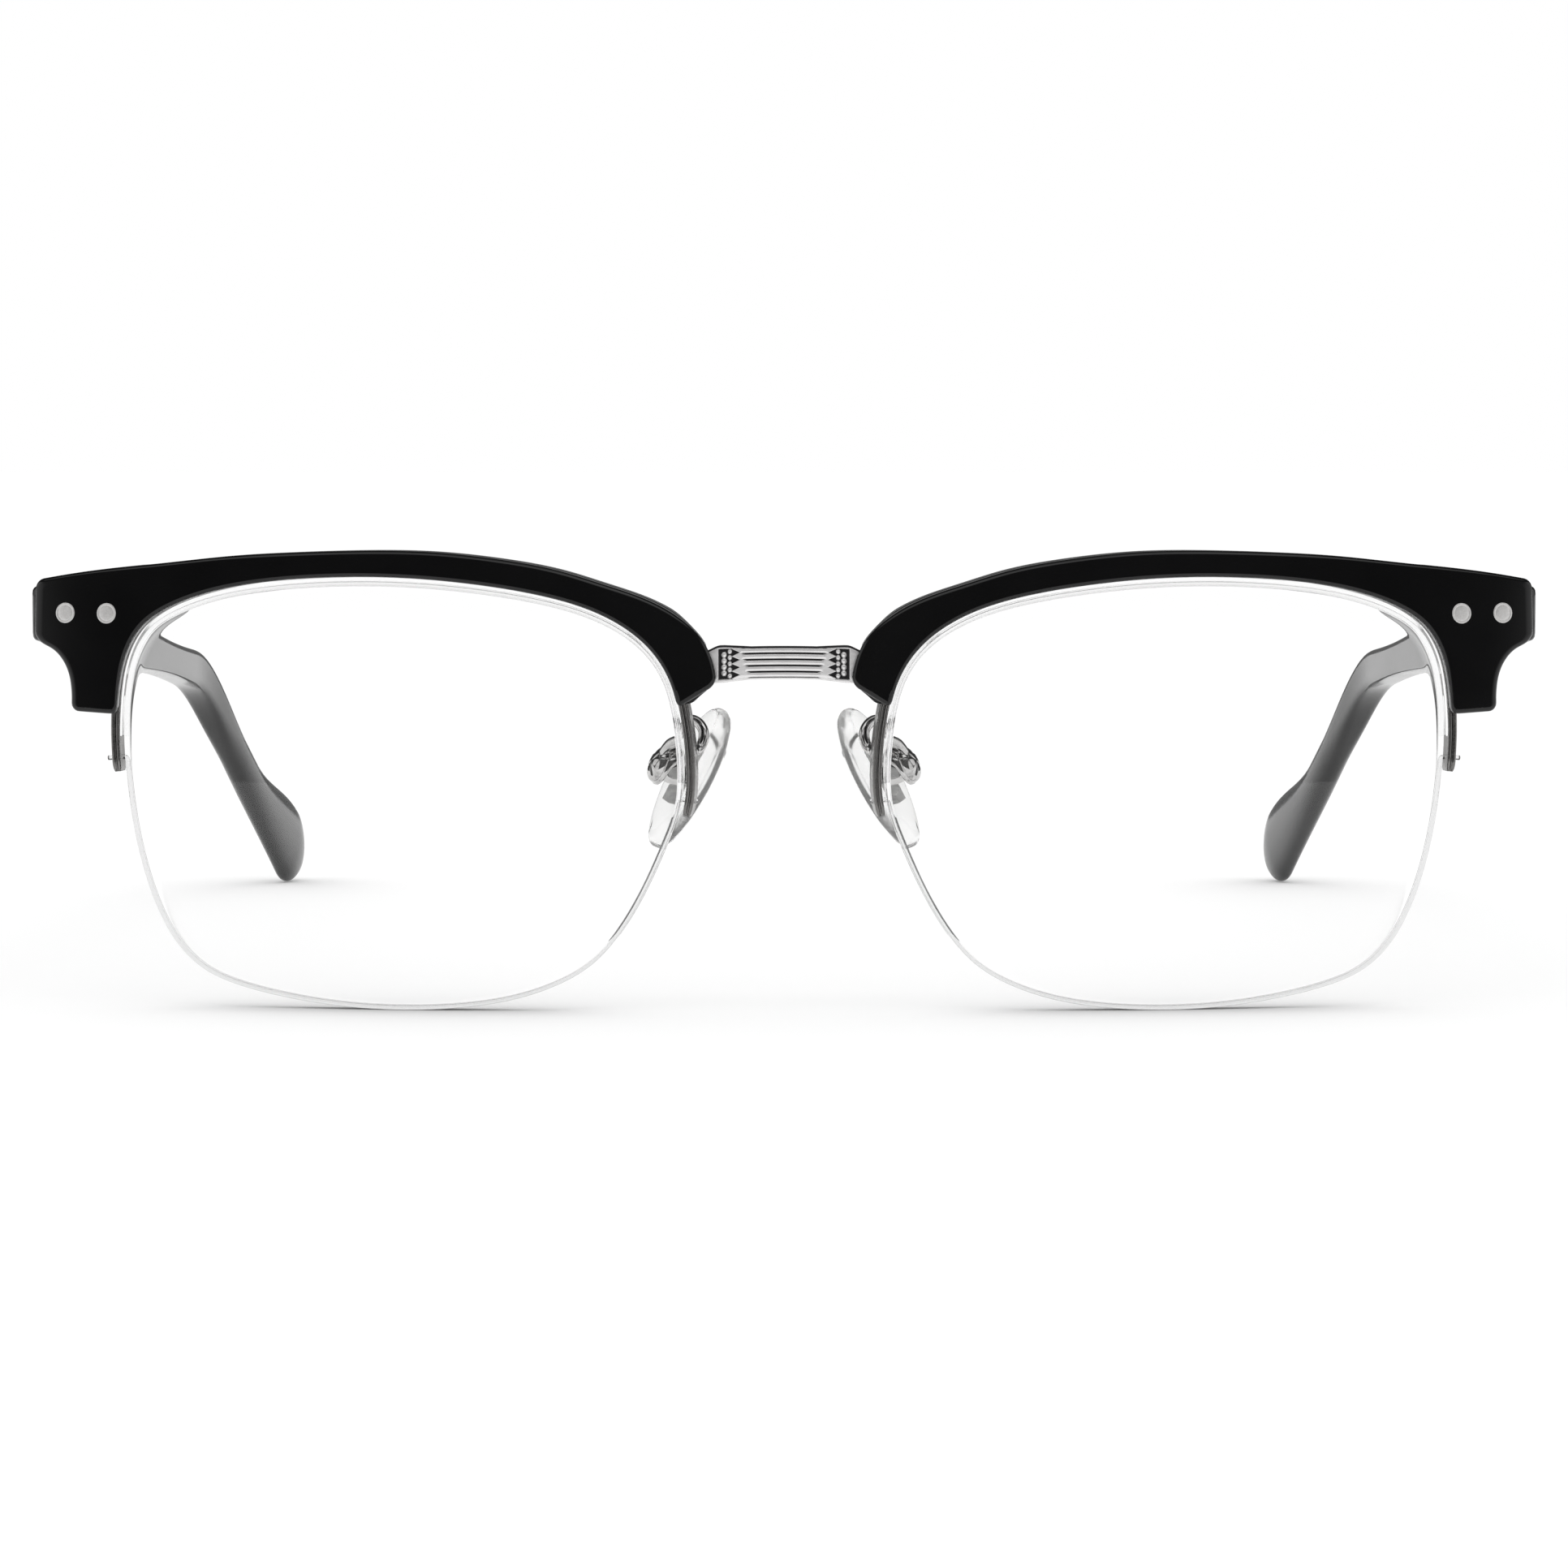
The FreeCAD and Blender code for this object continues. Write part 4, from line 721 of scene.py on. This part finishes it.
def brow_trim(p):
    """Flatten the back on the hinge seat, and sink it where the bridge's
    end lies, open to the back and to the nose."""
    inside = p - SEAT
    s, h = inside @ ALONG, inside @ BEHIND
    over = np.where(s > -LEAF_IN - 0.6, np.maximum(h, 0), 0)
    p = p - over[..., None] * BEHIND
    reach = NOSE_GAP / 2 + BRIDGE_INTO_BROW
    z = LENS_HEIGHT - BRIDGE_DROP - BRIDGE_ARCH
    soft = 0.12
    high = BRIDGE_HEIGHT / 2 + BRIDGE_FLARE + soft
    floor = bridge_middle(np.array(4.0))[0] - BRIDGE_THICK / 2 - 0.1
    room = step((high + soft - np.abs(p[..., 2] - z)) / (2 * soft))
    room = room * step((reach - p[..., 0]) / 0.3)
    y = p[..., 1] - room * np.maximum(p[..., 1] - floor, 0)
    return np.stack([p[..., 0], y, p[..., 2]], -1)


def brow_patches():
    """Front and back faces on their balls, joined by a wall with rounded
    edges that steps out behind its front lip for the rim.  At the nose end
    the wall leans in behind the front."""
    loop, shift, inward = brow_loop()
    k = np.arange(len(loop))
    past = (2 * BROW_WIDE + BROW_RUN - k) / BROW_WIDE
    outside = np.clip(past, 0, 1) * (k >= BROW_WIDE)
    lean = NOSE_LEAN * outside * step((1.5 - HALF_W - loop[:, 0]) / 3.0)
    lean = lean[:, None] * np.array([1.0, 0.0])

    def ring(inset, depth, rebate):
        moved = loop + inward * inset + lean * (depth - BROW_FRONT)
        return moved + shift * REBATE * rebate

    a = np.linspace(0, math.pi / 2, 7)
    rf, rb = BROW_ROUND_FRONT, BROW_ROUND_BACK
    levels = [
        (rf * (1 - math.sin(t)), BROW_FRONT + rf * (1 - math.cos(t)), 0) for t in a
    ]
    levels += [(0, REBATE_DEPTH - 0.06, 0), (0.05, REBATE_DEPTH, 0)]
    levels += [(0, REBATE_DEPTH, 1), (0, 0.6, 1), (0, 1.4, 1)]
    levels += [
        (rb * (1 - math.sin(t)), BROW_BACK - rb * (1 - math.cos(t)), 1)
        for t in a[::-1]
    ]
    wall = np.stack([on_ball(ring(*level), level[1]) for level in levels])
    front = on_ball(brow_fill(ring(*levels[0])), BROW_FRONT)
    back = on_ball(brow_fill(ring(*levels[-1])), BROW_BACK)
    return [brow_trim(to_face(p)) for p in (front, closed(wall), back)]


# ------------------------------------------------------------ lugs and rivets
def lug_patches():
    """Flat tab on the rim's back: a loop of two straight sides and a half
    circle, carried between two balls, with its edges rounded off."""
    at, normal = lens_edge(np.array([edge_at(-1, 1 - LUG_DROP / HALF_H)]))
    at, out = at[0], normal[0]
    across = np.array([out[1], -out[0]])
    t = np.linspace(-math.pi / 2, math.pi / 2, 25)[:, None]
    turn = np.sin(t) * across + np.cos(t) * out
    seat, near = at + out * LUG_REACH, at + out * (LINER_THICK + 0.1)
    rings = []
    front = BROW_BACK + LUG_GAP
    for inset, depth in (
        (0.06, 0.0), (0.015, 0.02), (0.0, 0.07), (0.0, LUG_THICK - 0.1),
        (0.02, LUG_THICK - 0.03), (0.08, LUG_THICK),
    ):
        half = LUG_HALF - inset
        loop = [near - across * half, *(seat + half * turn), near + across * half]
        loop.append(loop[0])
        rings.append(on_ball(np.array(loop), front + depth))
    rings = to_face(np.stack(rings))
    return [rings, fan(rings[0]), fan(rings[-1])]


def rivet_patches(at):
    """Turned rivet head on the brow's front: rings by radius and height, a
    slightly crowned face inside a fine groove and a raised rim, with a shank
    1 mm deep."""
    axis = SEAT + ALONG * at - BEHIND * (BROW_BACK - BROW_FRONT)
    axis[2] = HINGE_Z + RIVET_RISE
    centre = to_eye(axis)[[0, 2]]
    proud = [
        (0.0, 0.045), (0.3, 0.044), (0.58, 0.038), (0.68, 0.02), (0.72, 0.005),
        (0.76, 0.02), (0.80, 0.046), (0.85, 0.05), (0.90, 0.04), (0.94, 0.01),
        (0.95, -0.04), (0.95, -1.0), (0, -1.0),
    ]
    turn = np.linspace(0, 2 * math.pi, 73)
    circle = np.stack([np.cos(turn), np.sin(turn)], 1) * (RIVET_RADIUS / proud[-2][0])
    rows = [on_ball(centre + circle * r, BROW_FRONT - up) for r, up in proud]
    return [to_face(np.stack(rows))]


# ------------------------------------------------------------ temple
BEND_AT = TEMPLE_LENGTH - TIP_LENGTH
ROUND_AT = TEMPLE_LENGTH - PADDLE_HEIGHT / 2      # where the tip's round end starts


def temple_height(s):
    """Height of the temple at a distance behind the hinge."""
    waist = step((s / BEND_AT - 0.40) / 0.38)
    high = TEMPLE_HEIGHT - (TEMPLE_HEIGHT - WAIST_HEIGHT) * waist
    high = high + (BEND_HEIGHT - WAIST_HEIGHT) * step((s / BEND_AT - 0.80) / 0.22)
    f = np.clip((s - BEND_AT) / (ROUND_AT - BEND_AT), 0, 1)
    extra = PADDLE_HEIGHT - BEND_HEIGHT
    return high + extra * (0.38 * f * f + 0.62 * step((f - 0.55) / 0.45))


def temple_line():
    """Even stations: distance behind the hinge, and centre, width, up and
    backward unit vectors.  The line falls by the slope and turns down and in
    at the bend."""
    s = np.arange(-TEMPLE_AHEAD, TEMPLE_LENGTH + 1.0, TEMPLE_STATION)
    turn = step((s - BEND_AT) / BEND_LENGTH + 0.5)
    a = np.radians(TEMPLE_SLOPE + TIP_DROP * turn)
    yaw = np.radians(TEMPLE_TAPER * np.clip((s - 8) / 8, 0, 1) + TIP_TOE * turn)
    cy, sy, ca, sa = np.cos(yaw), np.sin(yaw), np.cos(a), np.sin(a)
    width = np.stack([cy, sy, 0 * yaw], 1)
    up = np.stack([-sy * sa, cy * sa, ca], 1)
    way = np.stack([-sy * ca, cy * ca, -sa], 1)
    fall = math.radians(TEMPLE_SLOPE)
    y0 = AXIS_Y - TEMPLE_AHEAD * math.cos(fall)
    z0 = HINGE_Z + TEMPLE_AHEAD * math.sin(fall)
    start = np.array([OUTER_X - TEMPLE_THICK / 2 + FACE_TRIM, y0, z0])
    run = np.vstack([[0, 0, 0], np.cumsum(way[:-1] * TEMPLE_STATION, 0)])
    grown = temple_height(np.minimum(s, ROUND_AT)) - temple_height(BEND_AT)
    centre = start + run + up * (0.5 * grown * turn)[:, None]
    return s, centre, width, up, way


def temple_mitre(body, back):
    """Slide a ring of the body along the temple onto the seat plane, round
    the edge there with a quarter circle, and join it to the body."""
    front, blend = 20, 6     # the ring slid, and rings replaced behind it
    need = (TEMPLE_GAP - (body[front] - SEAT) @ BEHIND) / (back @ BEHIND)
    start = body[front] + back * need[:, None]
    spoke = start - start.mean(0)
    spoke = spoke / np.linalg.norm(spoke, axis=1, keepdims=True) * TEMPLE_EDGE
    edge = np.stack([
        start - spoke * (1 - math.sin(t)) + back * TEMPLE_EDGE * (1 - math.cos(t))
        for t in np.linspace(0, math.pi / 2, 7)
    ])
    f = np.linspace(0, 1, 14)[1:, None, None]
    joined = edge[-1] + (body[front + blend] - edge[-1]) * f
    return np.concatenate([edge, joined, body[front + blend + 1:]])


def temple_patches():
    """Section |x/a|^n + |z/b|^n = 1 carried along the temple's line, n
    falling round the bend from the bar's power to the tip's.  It is mitred
    at the hinge and closed round at the tip."""
    line = temple_line()
    rings, tip_rings = 300, 26
    s = np.linspace(-TEMPLE_AHEAD, ROUND_AT, rings)
    s = np.concatenate([s, np.full(tip_rings, ROUND_AT)])
    angle = np.radians(np.linspace(3, 89.9, tip_rings))
    angle = np.concatenate([np.zeros(rings), angle])
    centre, width, up, way = (
        np.stack([np.interp(s, line[0], v[:, k]) for k in range(3)], 1)
        for v in line[1:]
    )
    c = np.cos(angle)
    centre = centre + way * (PADDLE_HEIGHT / 2 * np.sin(angle))[:, None]
    thinner = (TEMPLE_TIP_THICK - TEMPLE_THICK) * np.maximum(s, 0) / TEMPLE_LENGTH
    thick = (TEMPLE_THICK + thinner) * c**0.5
    high = temple_height(s) * c
    fall = (BAR_POWER - TIP_POWER) * step((s - BEND_AT + 4) / 22)
    power = (2 / (BAR_POWER - fall))[:, None]
    turn = np.linspace(0, 2 * math.pi, 73)[:-1]
    ct, st = np.cos(turn), np.sin(turn)
    w = np.abs(ct) ** power * np.sign(ct) * thick[:, None] / 2
    h = np.abs(st) ** power * np.sign(st) * high[:, None] / 2
    body = centre[:, None] + width[:, None] * w[..., None] + up[:, None] * h[..., None]
    body = temple_mitre(body, way[0])
    body[..., 0] = np.minimum(body[..., 0], OUTER_X - OUTER_TRIM)
    body = closed(body)
    return [body, fan(body[0]), fan(body[-1], (0.0, 1.0))]


# ------------------------------------------------------------ bridge
def bridge_middle(x):
    """Centre y, centre z and half height of the bridge at x."""
    f = np.minimum(1.0, np.abs(x) / 9.0)
    y = BRIDGE_BACK - BRIDGE_BOW * (1 - f * f)
    z = LENS_HEIGHT - BRIDGE_DROP - BRIDGE_ARCH * f * f
    high = BRIDGE_HEIGHT / 2 + BRIDGE_FLARE * np.clip((np.abs(x) - 3.0) / 2.5, 0, 1)
    return y, z, high


def rim_side(z):
    """x of the rim's outer side at heights z, on the nose side."""
    f = np.linspace(0.2, 0.5, 600)
    at = to_face(on_ball(lens_edge(f, RIM_OUT)[0], 1.2))
    order = np.argsort(at[:, 2])
    return np.interp(z, at[order, 2], at[order, 0])


RIB_PITCH = 0.56             # of the ribs and of the beads
RIB_LOW = -1.36              # bottom of the lowest rib
RIB_END = 3.05               # of the lowest rib; each higher one is longer
RIB_DEEP = 0.2
TOOTH_PITCH = 0.68
TOOTH_IN, TOOTH_OUT = 4.0, 4.75
POCKET_END = 6.05
POCKET_HALF = 1.45
POCKET_DEEP = 0.32
BEAD_ROWS = ((4.95, 0.22, 0.0), (5.48, 0.26, 0.5))      # x, radius, phase
BEAD_HIGH = 0.28
SOFT = 0.12                  # width of a cut's flank


def bridge_relief(x, q):
    """Depth of the cuts at x and q = height above the centre line, and how
    dark they are: five long round ribs with sharp dark valleys between them,
    and at each side a toothed pocket with two rows of small beads."""
    x = np.abs(x)
    u = ((q - RIB_LOW) / RIB_PITCH) % 1.0
    row = np.floor((q - RIB_LOW) / RIB_PITCH)
    ends = RIB_END + 0.17 * row
    ribbed = step((ends + 0.35 - x) / 0.4) * (row >= 0) * (row <= 4)
    off = np.abs(u - 0.5) * 2
    depth = RIB_DEEP * (1 - np.sqrt(np.clip(1 - off**2, 0, 1))) * ribbed
    dark = step((off - 0.58) / 0.16) * ribbed
    tooth = np.abs(((q - RIB_LOW) / TOOTH_PITCH) % 1.0 - 0.5) * 2
    inner = TOOTH_IN + (TOOTH_OUT - TOOTH_IN) * tooth
    pocket = step((x - inner) / SOFT) * step((POCKET_END - x) / SOFT)
    pocket = pocket * step((POCKET_HALF - np.abs(q)) / SOFT)
    depth = np.maximum(depth, POCKET_DEEP * pocket)
    dark = np.maximum(dark, pocket)
    for bx, size, phase in BEAD_ROWS:
        near = (np.round(q / RIB_PITCH - phase) + phase) * RIB_PITCH
        far = np.hypot(x - bx, (q - near) * 0.85) / size
        bead = np.sqrt(np.clip(1 - far**2, 0, 1)) * (np.abs(near) < 1.3)
        depth = depth - BEAD_HIGH * bead * pocket
        dark = dark * (1 - np.clip(bead * 1.6, 0, 1))
    return depth, dark


def bridge_patches():
    """Bar with rounded edges along the bridge's bow: rows along x, one for
    each place round the section, given as share of half height, inset from
    top or bottom, depth, share of the relief, and painted shade.  Its front
    is a height field cut by bridge_relief, its top edge carries a painted
    dark reflection line and drops towards the brows, and its ends follow
    the rims."""
    x = np.linspace(-12.2, 12.2, 621)
    turn = np.linspace(0, math.pi / 2, 6)
    r, w, end_drop = 0.2, BRIDGE_THICK / 2, 0.45
    curl = [(r * (1 - math.sin(t)), r * (1 - math.cos(t))) for t in turn]
    places = [(v, r, -w, 1, 0.0) for v in np.linspace(-1, 1, 121)]
    # painted dark reflection line on the top edge: full on its front curl, half on its back curl
    places += [(1, a, b - w, 0, 1.0) for a, b in curl[1:]]
    places += [(1, a, w - b, 0, 0.5) for a, b in curl[::-1]]
    places += [(v, r, w, 0, 0.0) for v in np.linspace(1, -1, 9)[1:-1]]
    places += [(-1, a, w - b, 0, 0.0) for a, b in curl]
    places += [(-1, a, b - w, 0, 0.0) for a, b in curl[:0:-1]]
    rows, marks = [], []
    for share, inset, depth, relief, painted_shade in places:
        xx = x
        for _ in range(4):
            y, z, high = bridge_middle(xx)
            high = high - end_drop * step((np.abs(xx) - 5.8) / 1.5) * (share > 0)
            zz = z + share * (high - inset)
            xx = np.sign(x) * np.minimum(np.abs(x), rim_side(zz) + 0.25)
        cut, dark = bridge_relief(xx, share * (high - inset))
        crown = 0.4 * np.clip(np.abs(share) - 0.75, 0, 1) ** 2
        rows.append(np.stack([xx, y + depth + (cut + crown) * relief, zz], 1))
        # darkening in the cuts, plus painted shade on the top edge
        marks.append(dark * relief + painted_shade)
    ring = np.stack(rows + rows[:1], 1)
    mark = np.stack(marks + marks[:1], 1)
    caps = [fan(ring[0]), fan(ring[-1])]
    return [ring, *caps], [mark] + [np.zeros(c.shape[:2]) for c in caps]


# ------------------------------------------------------------ nose pads
CT, ST = math.cos(PAD_TILT), math.sin(PAD_TILT)
CS, SS = math.cos(PAD_SPLAY), math.sin(PAD_SPLAY)
PAD_CENTRE = np.array([NOSE_GAP / 2 - PAD_X_IN, PAD_Y, HALF_H + PAD_Z])
PAD_LONG = np.array([-ST, 0, CT])
PAD_OUT = np.array([CS * CT, -SS, CS * ST])
PAD_WIDE = np.array([SS * CT, CS, SS * ST])


def nose_pad_patches():
    """Egg-shaped rings stacked along the pad's thickness, their size by a
    cubic through the moulded pad's levels."""
    levels = [
        (-1.0, 0.0), (-1.0, 0.3), (-0.985, 0.55), (-0.82, 0.78),
        (-0.52, 0.92), (-0.12, 0.99), (0.28, 1.0), (0.62, 0.96),
        (0.86, 0.86), (0.985, 0.70), (1.0, 0.5), (1.0, 0.0),
    ]
    rings = along(cubic(levels), np.linspace(0, 1, 64))[0]
    out, scale = np.clip(rings[:, 0], -1, 1), np.clip(rings[:, 1], 0, 1)
    a = np.linspace(0, 2 * math.pi, 113)[None]
    k = scale[:, None]
    long_scale = np.where(k > 0.5, 0.15 + 0.85 * k, k * 1.15)
    long = 0.5 * PAD_LENGTH * np.cos(a) * long_scale
    wide = 0.5 * PAD_WIDTH * np.sin(a) * (1 + PAD_EGG * np.cos(a)) * k
    p = PAD_CENTRE + out[:, None, None] * PAD_THICK / 2 * PAD_OUT
    return [p + wide[..., None] * PAD_WIDE + long[..., None] * PAD_LONG]


def arm_line():
    """Centre points of the pad arm's wire, from the rim's back to the box."""
    flat = lens_edge(edge_at(-1, 0.20), (LINER_THICK + RIM_OUT) / 2)[0]
    start = to_face(on_ball(flat, RIM_BACK))[0]
    end = PAD_CENTRE + PAD_OUT * BOX_TOP
    points = [start - [0.02, 0.25, 0.05], start]
    for d in (
        (-0.55, 1.05, 0.35), (-0.95, 1.75, 1.45), (-0.55, 2.45, 2.45),
        (0.25, 3.00, 2.80), (1.05, 3.40, 1.90),
    ):
        points.append(start + d)
    points += [end + [-0.25, -0.35, 1.1], end + PAD_OUT * 0.1]
    return np.array(points)


def arm_patches():
    """Round wire carried along its line; each ring's side directions are the
    last ring's, made square to the new direction."""
    at, slope = along(cubic(arm_line()), np.linspace(0, 1, 150))
    slope = slope / np.linalg.norm(slope, axis=1, keepdims=True)
    turn = np.linspace(0, 2 * math.pi, 25)
    side = np.cross(slope[0], [0, 0, 1.0])
    rings = []
    for p, t in zip(at, slope):
        side = side - t * (side @ t)
        side = side / np.linalg.norm(side)
        round_it = np.cos(turn)[:, None] * side
        round_it = round_it + np.sin(turn)[:, None] * np.cross(t, side)
        rings.append(p + ARM_RADIUS * round_it)
    rings = np.stack(rings)
    return [rings, fan(rings[0]), fan(rings[-1])]


def dome_patches():
    """Turned cap on the back of the pad's box: radius and height of its
    profile about the pad's outward line, with a collar, a round top and
    four grooves that run up its sides."""
    sunk, collar, radius, high, groove_deep = 0.45, 1.72, 1.62, 0.95, 0.16
    base = BOX_TOP - sunk
    a = np.linspace(0, math.pi / 2, 24)
    profile = [(0.0, 0.0), (1.5, 0.0), (collar, 0.08), (collar, 0.3)]
    profile += [(1.55, 0.42), (1.5, 0.5)]
    profile += [(radius * math.cos(t), 0.56 + high * math.sin(t)) for t in a]
    turn = np.linspace(0, 2 * math.pi, 97)
    ring = np.cos(turn)[:, None] * PAD_WIDE + np.sin(turn)[:, None] * PAD_LONG * 1.1
    groove = step((np.abs(np.sin(turn * 2)) - 0.8) / 0.15)[:, None]
    rows = []
    for r, up in profile:
        cut = groove_deep * groove * (up > 0.5) * min(1.0, r)
        centre = PAD_CENTRE + PAD_OUT * (base + up - cut)
        rows.append(centre + ring * r * (1 - 0.5 * cut))
    return [np.stack(rows)]


# ------------------------------------------------------------ assembly
relief_grids, relief_and_painted_shade_marks = bridge_patches()
make_piece(
    "bridge_engraved", relief_grids, ENGRAVED, "front", ["bridge"],
    marks=relief_and_painted_shade_marks,
)
shapes = {
    "brow": (brow_patches(), ACETATE, "front", "black_acetate"),
    "rim": (rim_patches(), GUNMETAL, "front", "gunmetal"),
    "rim_lug_nasal": (lug_patches(), GUNMETAL, "front", "gunmetal"),
    "lens": (lens_patches(), LENS, "front", "lens"),
    "rivet_outer": (rivet_patches(RIVET_PLACES["outer"]), SATIN, "front", "silver"),
    "rivet_inner": (rivet_patches(RIVET_PLACES["inner"]), SATIN, "front", "silver"),
    "pad_arm": (arm_patches(), POLISHED, "front", "polished_metal"),
    "pad_dome": (dome_patches(), POLISHED, "front", "polished_metal"),
    "temple": (temple_patches(), ACETATE, "temple", "black_acetate"),
    "nose_pad": (nose_pad_patches(), SILICONE, "nose_pad", "silicone"),
}
for hand, side in (("left", 1), ("right", -1)):
    for name, (patches, look, body, slot) in shapes.items():
        cad = f"{name}_{hand}"
        rides = body if body == "front" else f"{body}_{hand}"
        stands_for = [cad] if cad in frame["nodes"] else []
        make_piece(f"{cad}_shell", patches, look, rides, stands_for, side)

KEPT = {
    "rim_lug_temporal": GUNMETAL,
    "brow_screw_nasal": STEEL, "brow_screw_temporal": STEEL,
    "rim_liner": LINER, "nylon_cord": NYLON,
    "pad_box": POLISHED, "pad_insert": STEEL, "pad_screw": STEEL,
    "hinge_front_leaf": STEEL, "hinge_temple_leaf": STEEL, "hinge_screw": STEEL,
    "temple_core_wire": STEEL, "temple_pin_front": STEEL, "temple_pin_rear": STEEL,
}
for name, look in KEPT.items():
    for hand in ("left", "right"):
        mesh = frame["nodes"][f"{name}_{hand}"].data
        for k in range(len(mesh.materials)):
            mesh.materials[k] = look


# ------------------------------------------------------------ stage
SKY_LIGHT = 1.0              # even light on matt surfaces
FLOOR_LIFT = 0.09            # brings the unshaded floor to white
FLOOR_ALBEDO = 0.93
FLOOR_X = (-6.0, -1.0, -0.3, 0.3, 1.0, 6.0)     # metres, as are the next two
FLOOR_Y = (-0.45, -0.3, -0.1, 0.1, 0.5, 9.0)
FLOOR_Z = -0.00003           # just under the lenses
CAMERA_FAR = 470.0           # in front of the drawing frame's origin
CAMERA_HIGH = 52.0
CAMERA_PITCH = 3.78          # degrees down
CAMERA_SENSOR, CAMERA_LENS = 36.0, 118.13


def make_floor():
    """Wide flat floor.  Camera, glossy and transmission rays see it a little
    lighter, so that it is white and only the shadows are grey."""
    x, y = np.meshgrid(FLOOR_X, FLOOR_Y)
    p = np.stack([x, y, np.full(x.shape, FLOOR_Z)], -1)
    index = np.arange(x.size).reshape(x.shape)
    quads = (index[:-1, :-1], index[:-1, 1:], index[1:, 1:], index[1:, :-1])
    quads = np.stack(quads, -1).reshape(-1, 4)
    mesh = bpy.data.meshes.new("floor")
    mesh.from_pydata(p.reshape(-1, 3).tolist(), [], quads.tolist())
    grey = (FLOOR_ALBEDO, FLOOR_ALBEDO, FLOOR_ALBEDO, 1)
    m, s = material("floor_white", Base_Color=grey, Roughness=0.9)
    s.inputs["Specular IOR Level"].default_value = 0.0
    s.inputs["Emission Color"].default_value = (1, 1, 1, 1)
    path = node(m, "ShaderNodeLightPath")
    seen = path.outputs["Is Camera Ray"]
    for kind in ("Is Glossy Ray", "Is Transmission Ray"):
        seen = join(m.node_tree, "MAXIMUM", seen, path.outputs[kind])
    lift = join(m.node_tree, "MULTIPLY", seen, FLOOR_LIFT)
    link(m, lift, s.inputs["Emission Strength"])
    mesh.materials.append(m)
    floor = bpy.data.objects.new("floor", mesh)
    bpy.context.scene.collection.objects.link(floor)


def make_world():
    """White for the camera and through glass to the back, an even light for
    matt surfaces, and for gloss a dark studio with a strip light above the
    front, one at each side and a grey backdrop straight behind."""
    world = bpy.data.worlds.new("studio")
    bpy.context.scene.world = world
    world.use_nodes = True
    tree = world.node_tree
    back = tree.nodes["Background"]
    place = tree.nodes.new("ShaderNodeTexCoord")
    parts = tree.nodes.new("ShaderNodeSeparateXYZ")
    tree.links.new(place.outputs["Generated"], parts.inputs[0])

    def most(*values):
        whole = values[0]
        for v in values[1:]:
            whole = join(tree, "MAXIMUM", whole, v)
        return whole

    def times(a, b):
        return join(tree, "MULTIPLY", a, b)

    def ramp(source, start, end, low=0.0, high=1.0):
        n = tree.nodes.new("ShaderNodeMapRange")
        n.interpolation_type = "SMOOTHSTEP"
        for k, v in zip((1, 2, 3, 4), (start, end, low, high)):
            n.inputs[k].default_value = v
        tree.links.new(source, n.inputs[0])
        return n.outputs[0]

    def band(source, centre, half, soft):
        off = join(tree, "ABSOLUTE", join(tree, "SUBTRACT", source, centre))
        return ramp(off, half, half + soft, 1.0, 0.0)

    x, y, z = (parts.outputs[k] for k in "XYZ")
    sideways = join(tree, "ABSOLUTE", x)
    strip = band(z, centre=0.86, half=0.08, soft=0.06)
    top = times(strip, ramp(y, 0.15, 0.0))
    strip = band(z, centre=0.2, half=0.3, soft=0.15)
    side = times(ramp(sideways, 0.72, 0.84), strip)
    side = times(times(side, ramp(y, 0.55, 0.4)), 0.9)
    backdrop = times(ramp(y, 0.8, 0.97), 0.22)
    room = most(top, side, backdrop, 0.05)
    seen = tree.nodes.new("ShaderNodeLightPath").outputs
    gloss = times(seen["Is Glossy Ray"], room)
    glass = times(seen["Is Transmission Ray"], ramp(y, -0.1, 0.5, 0.1))
    matt = times(seen["Is Diffuse Ray"], SKY_LIGHT)
    light = most(gloss, glass, matt, seen["Is Camera Ray"])
    tree.links.new(light, back.inputs["Strength"])
    back.inputs["Color"].default_value = (1, 1, 1, 1)


def make_lamp(name, place, aim, size, watts):
    """A soft square lamp turned to a point."""
    data = bpy.data.lights.new(name, "AREA")
    data.size, data.energy = size, watts
    lamp = bpy.data.objects.new(name, data)
    lamp.location = place
    way = np.subtract(aim, place)
    tilt = math.atan2(math.hypot(way[0], way[1]), -way[2])
    lamp.rotation_euler = (tilt, 0, math.atan2(-way[0], way[1]))
    bpy.context.scene.collection.objects.link(lamp)


def make_camera():
    """Camera in front, a little above the glasses and tilted down."""
    data = bpy.data.cameras.new("camera")
    data.sensor_width, data.lens = CAMERA_SENSOR, CAMERA_LENS
    data.clip_start, data.clip_end = 0.01, 50
    cam = bpy.data.objects.new("camera", data)
    cam.location = (0.0, (Y_SHIFT - CAMERA_FAR) * MM, CAMERA_HIGH * MM)
    cam.rotation_euler = (math.radians(90 - CAMERA_PITCH), 0, 0)
    bpy.context.scene.collection.objects.link(cam)
    bpy.context.scene.camera = cam


make_floor()
make_world()
make_lamp("top_lamp", (0.05, -0.12, 0.75), (0, -0.04, 0.0), size=0.5, watts=0.3)
make_camera()
bpy.context.scene.view_settings.view_transform = "Standard"
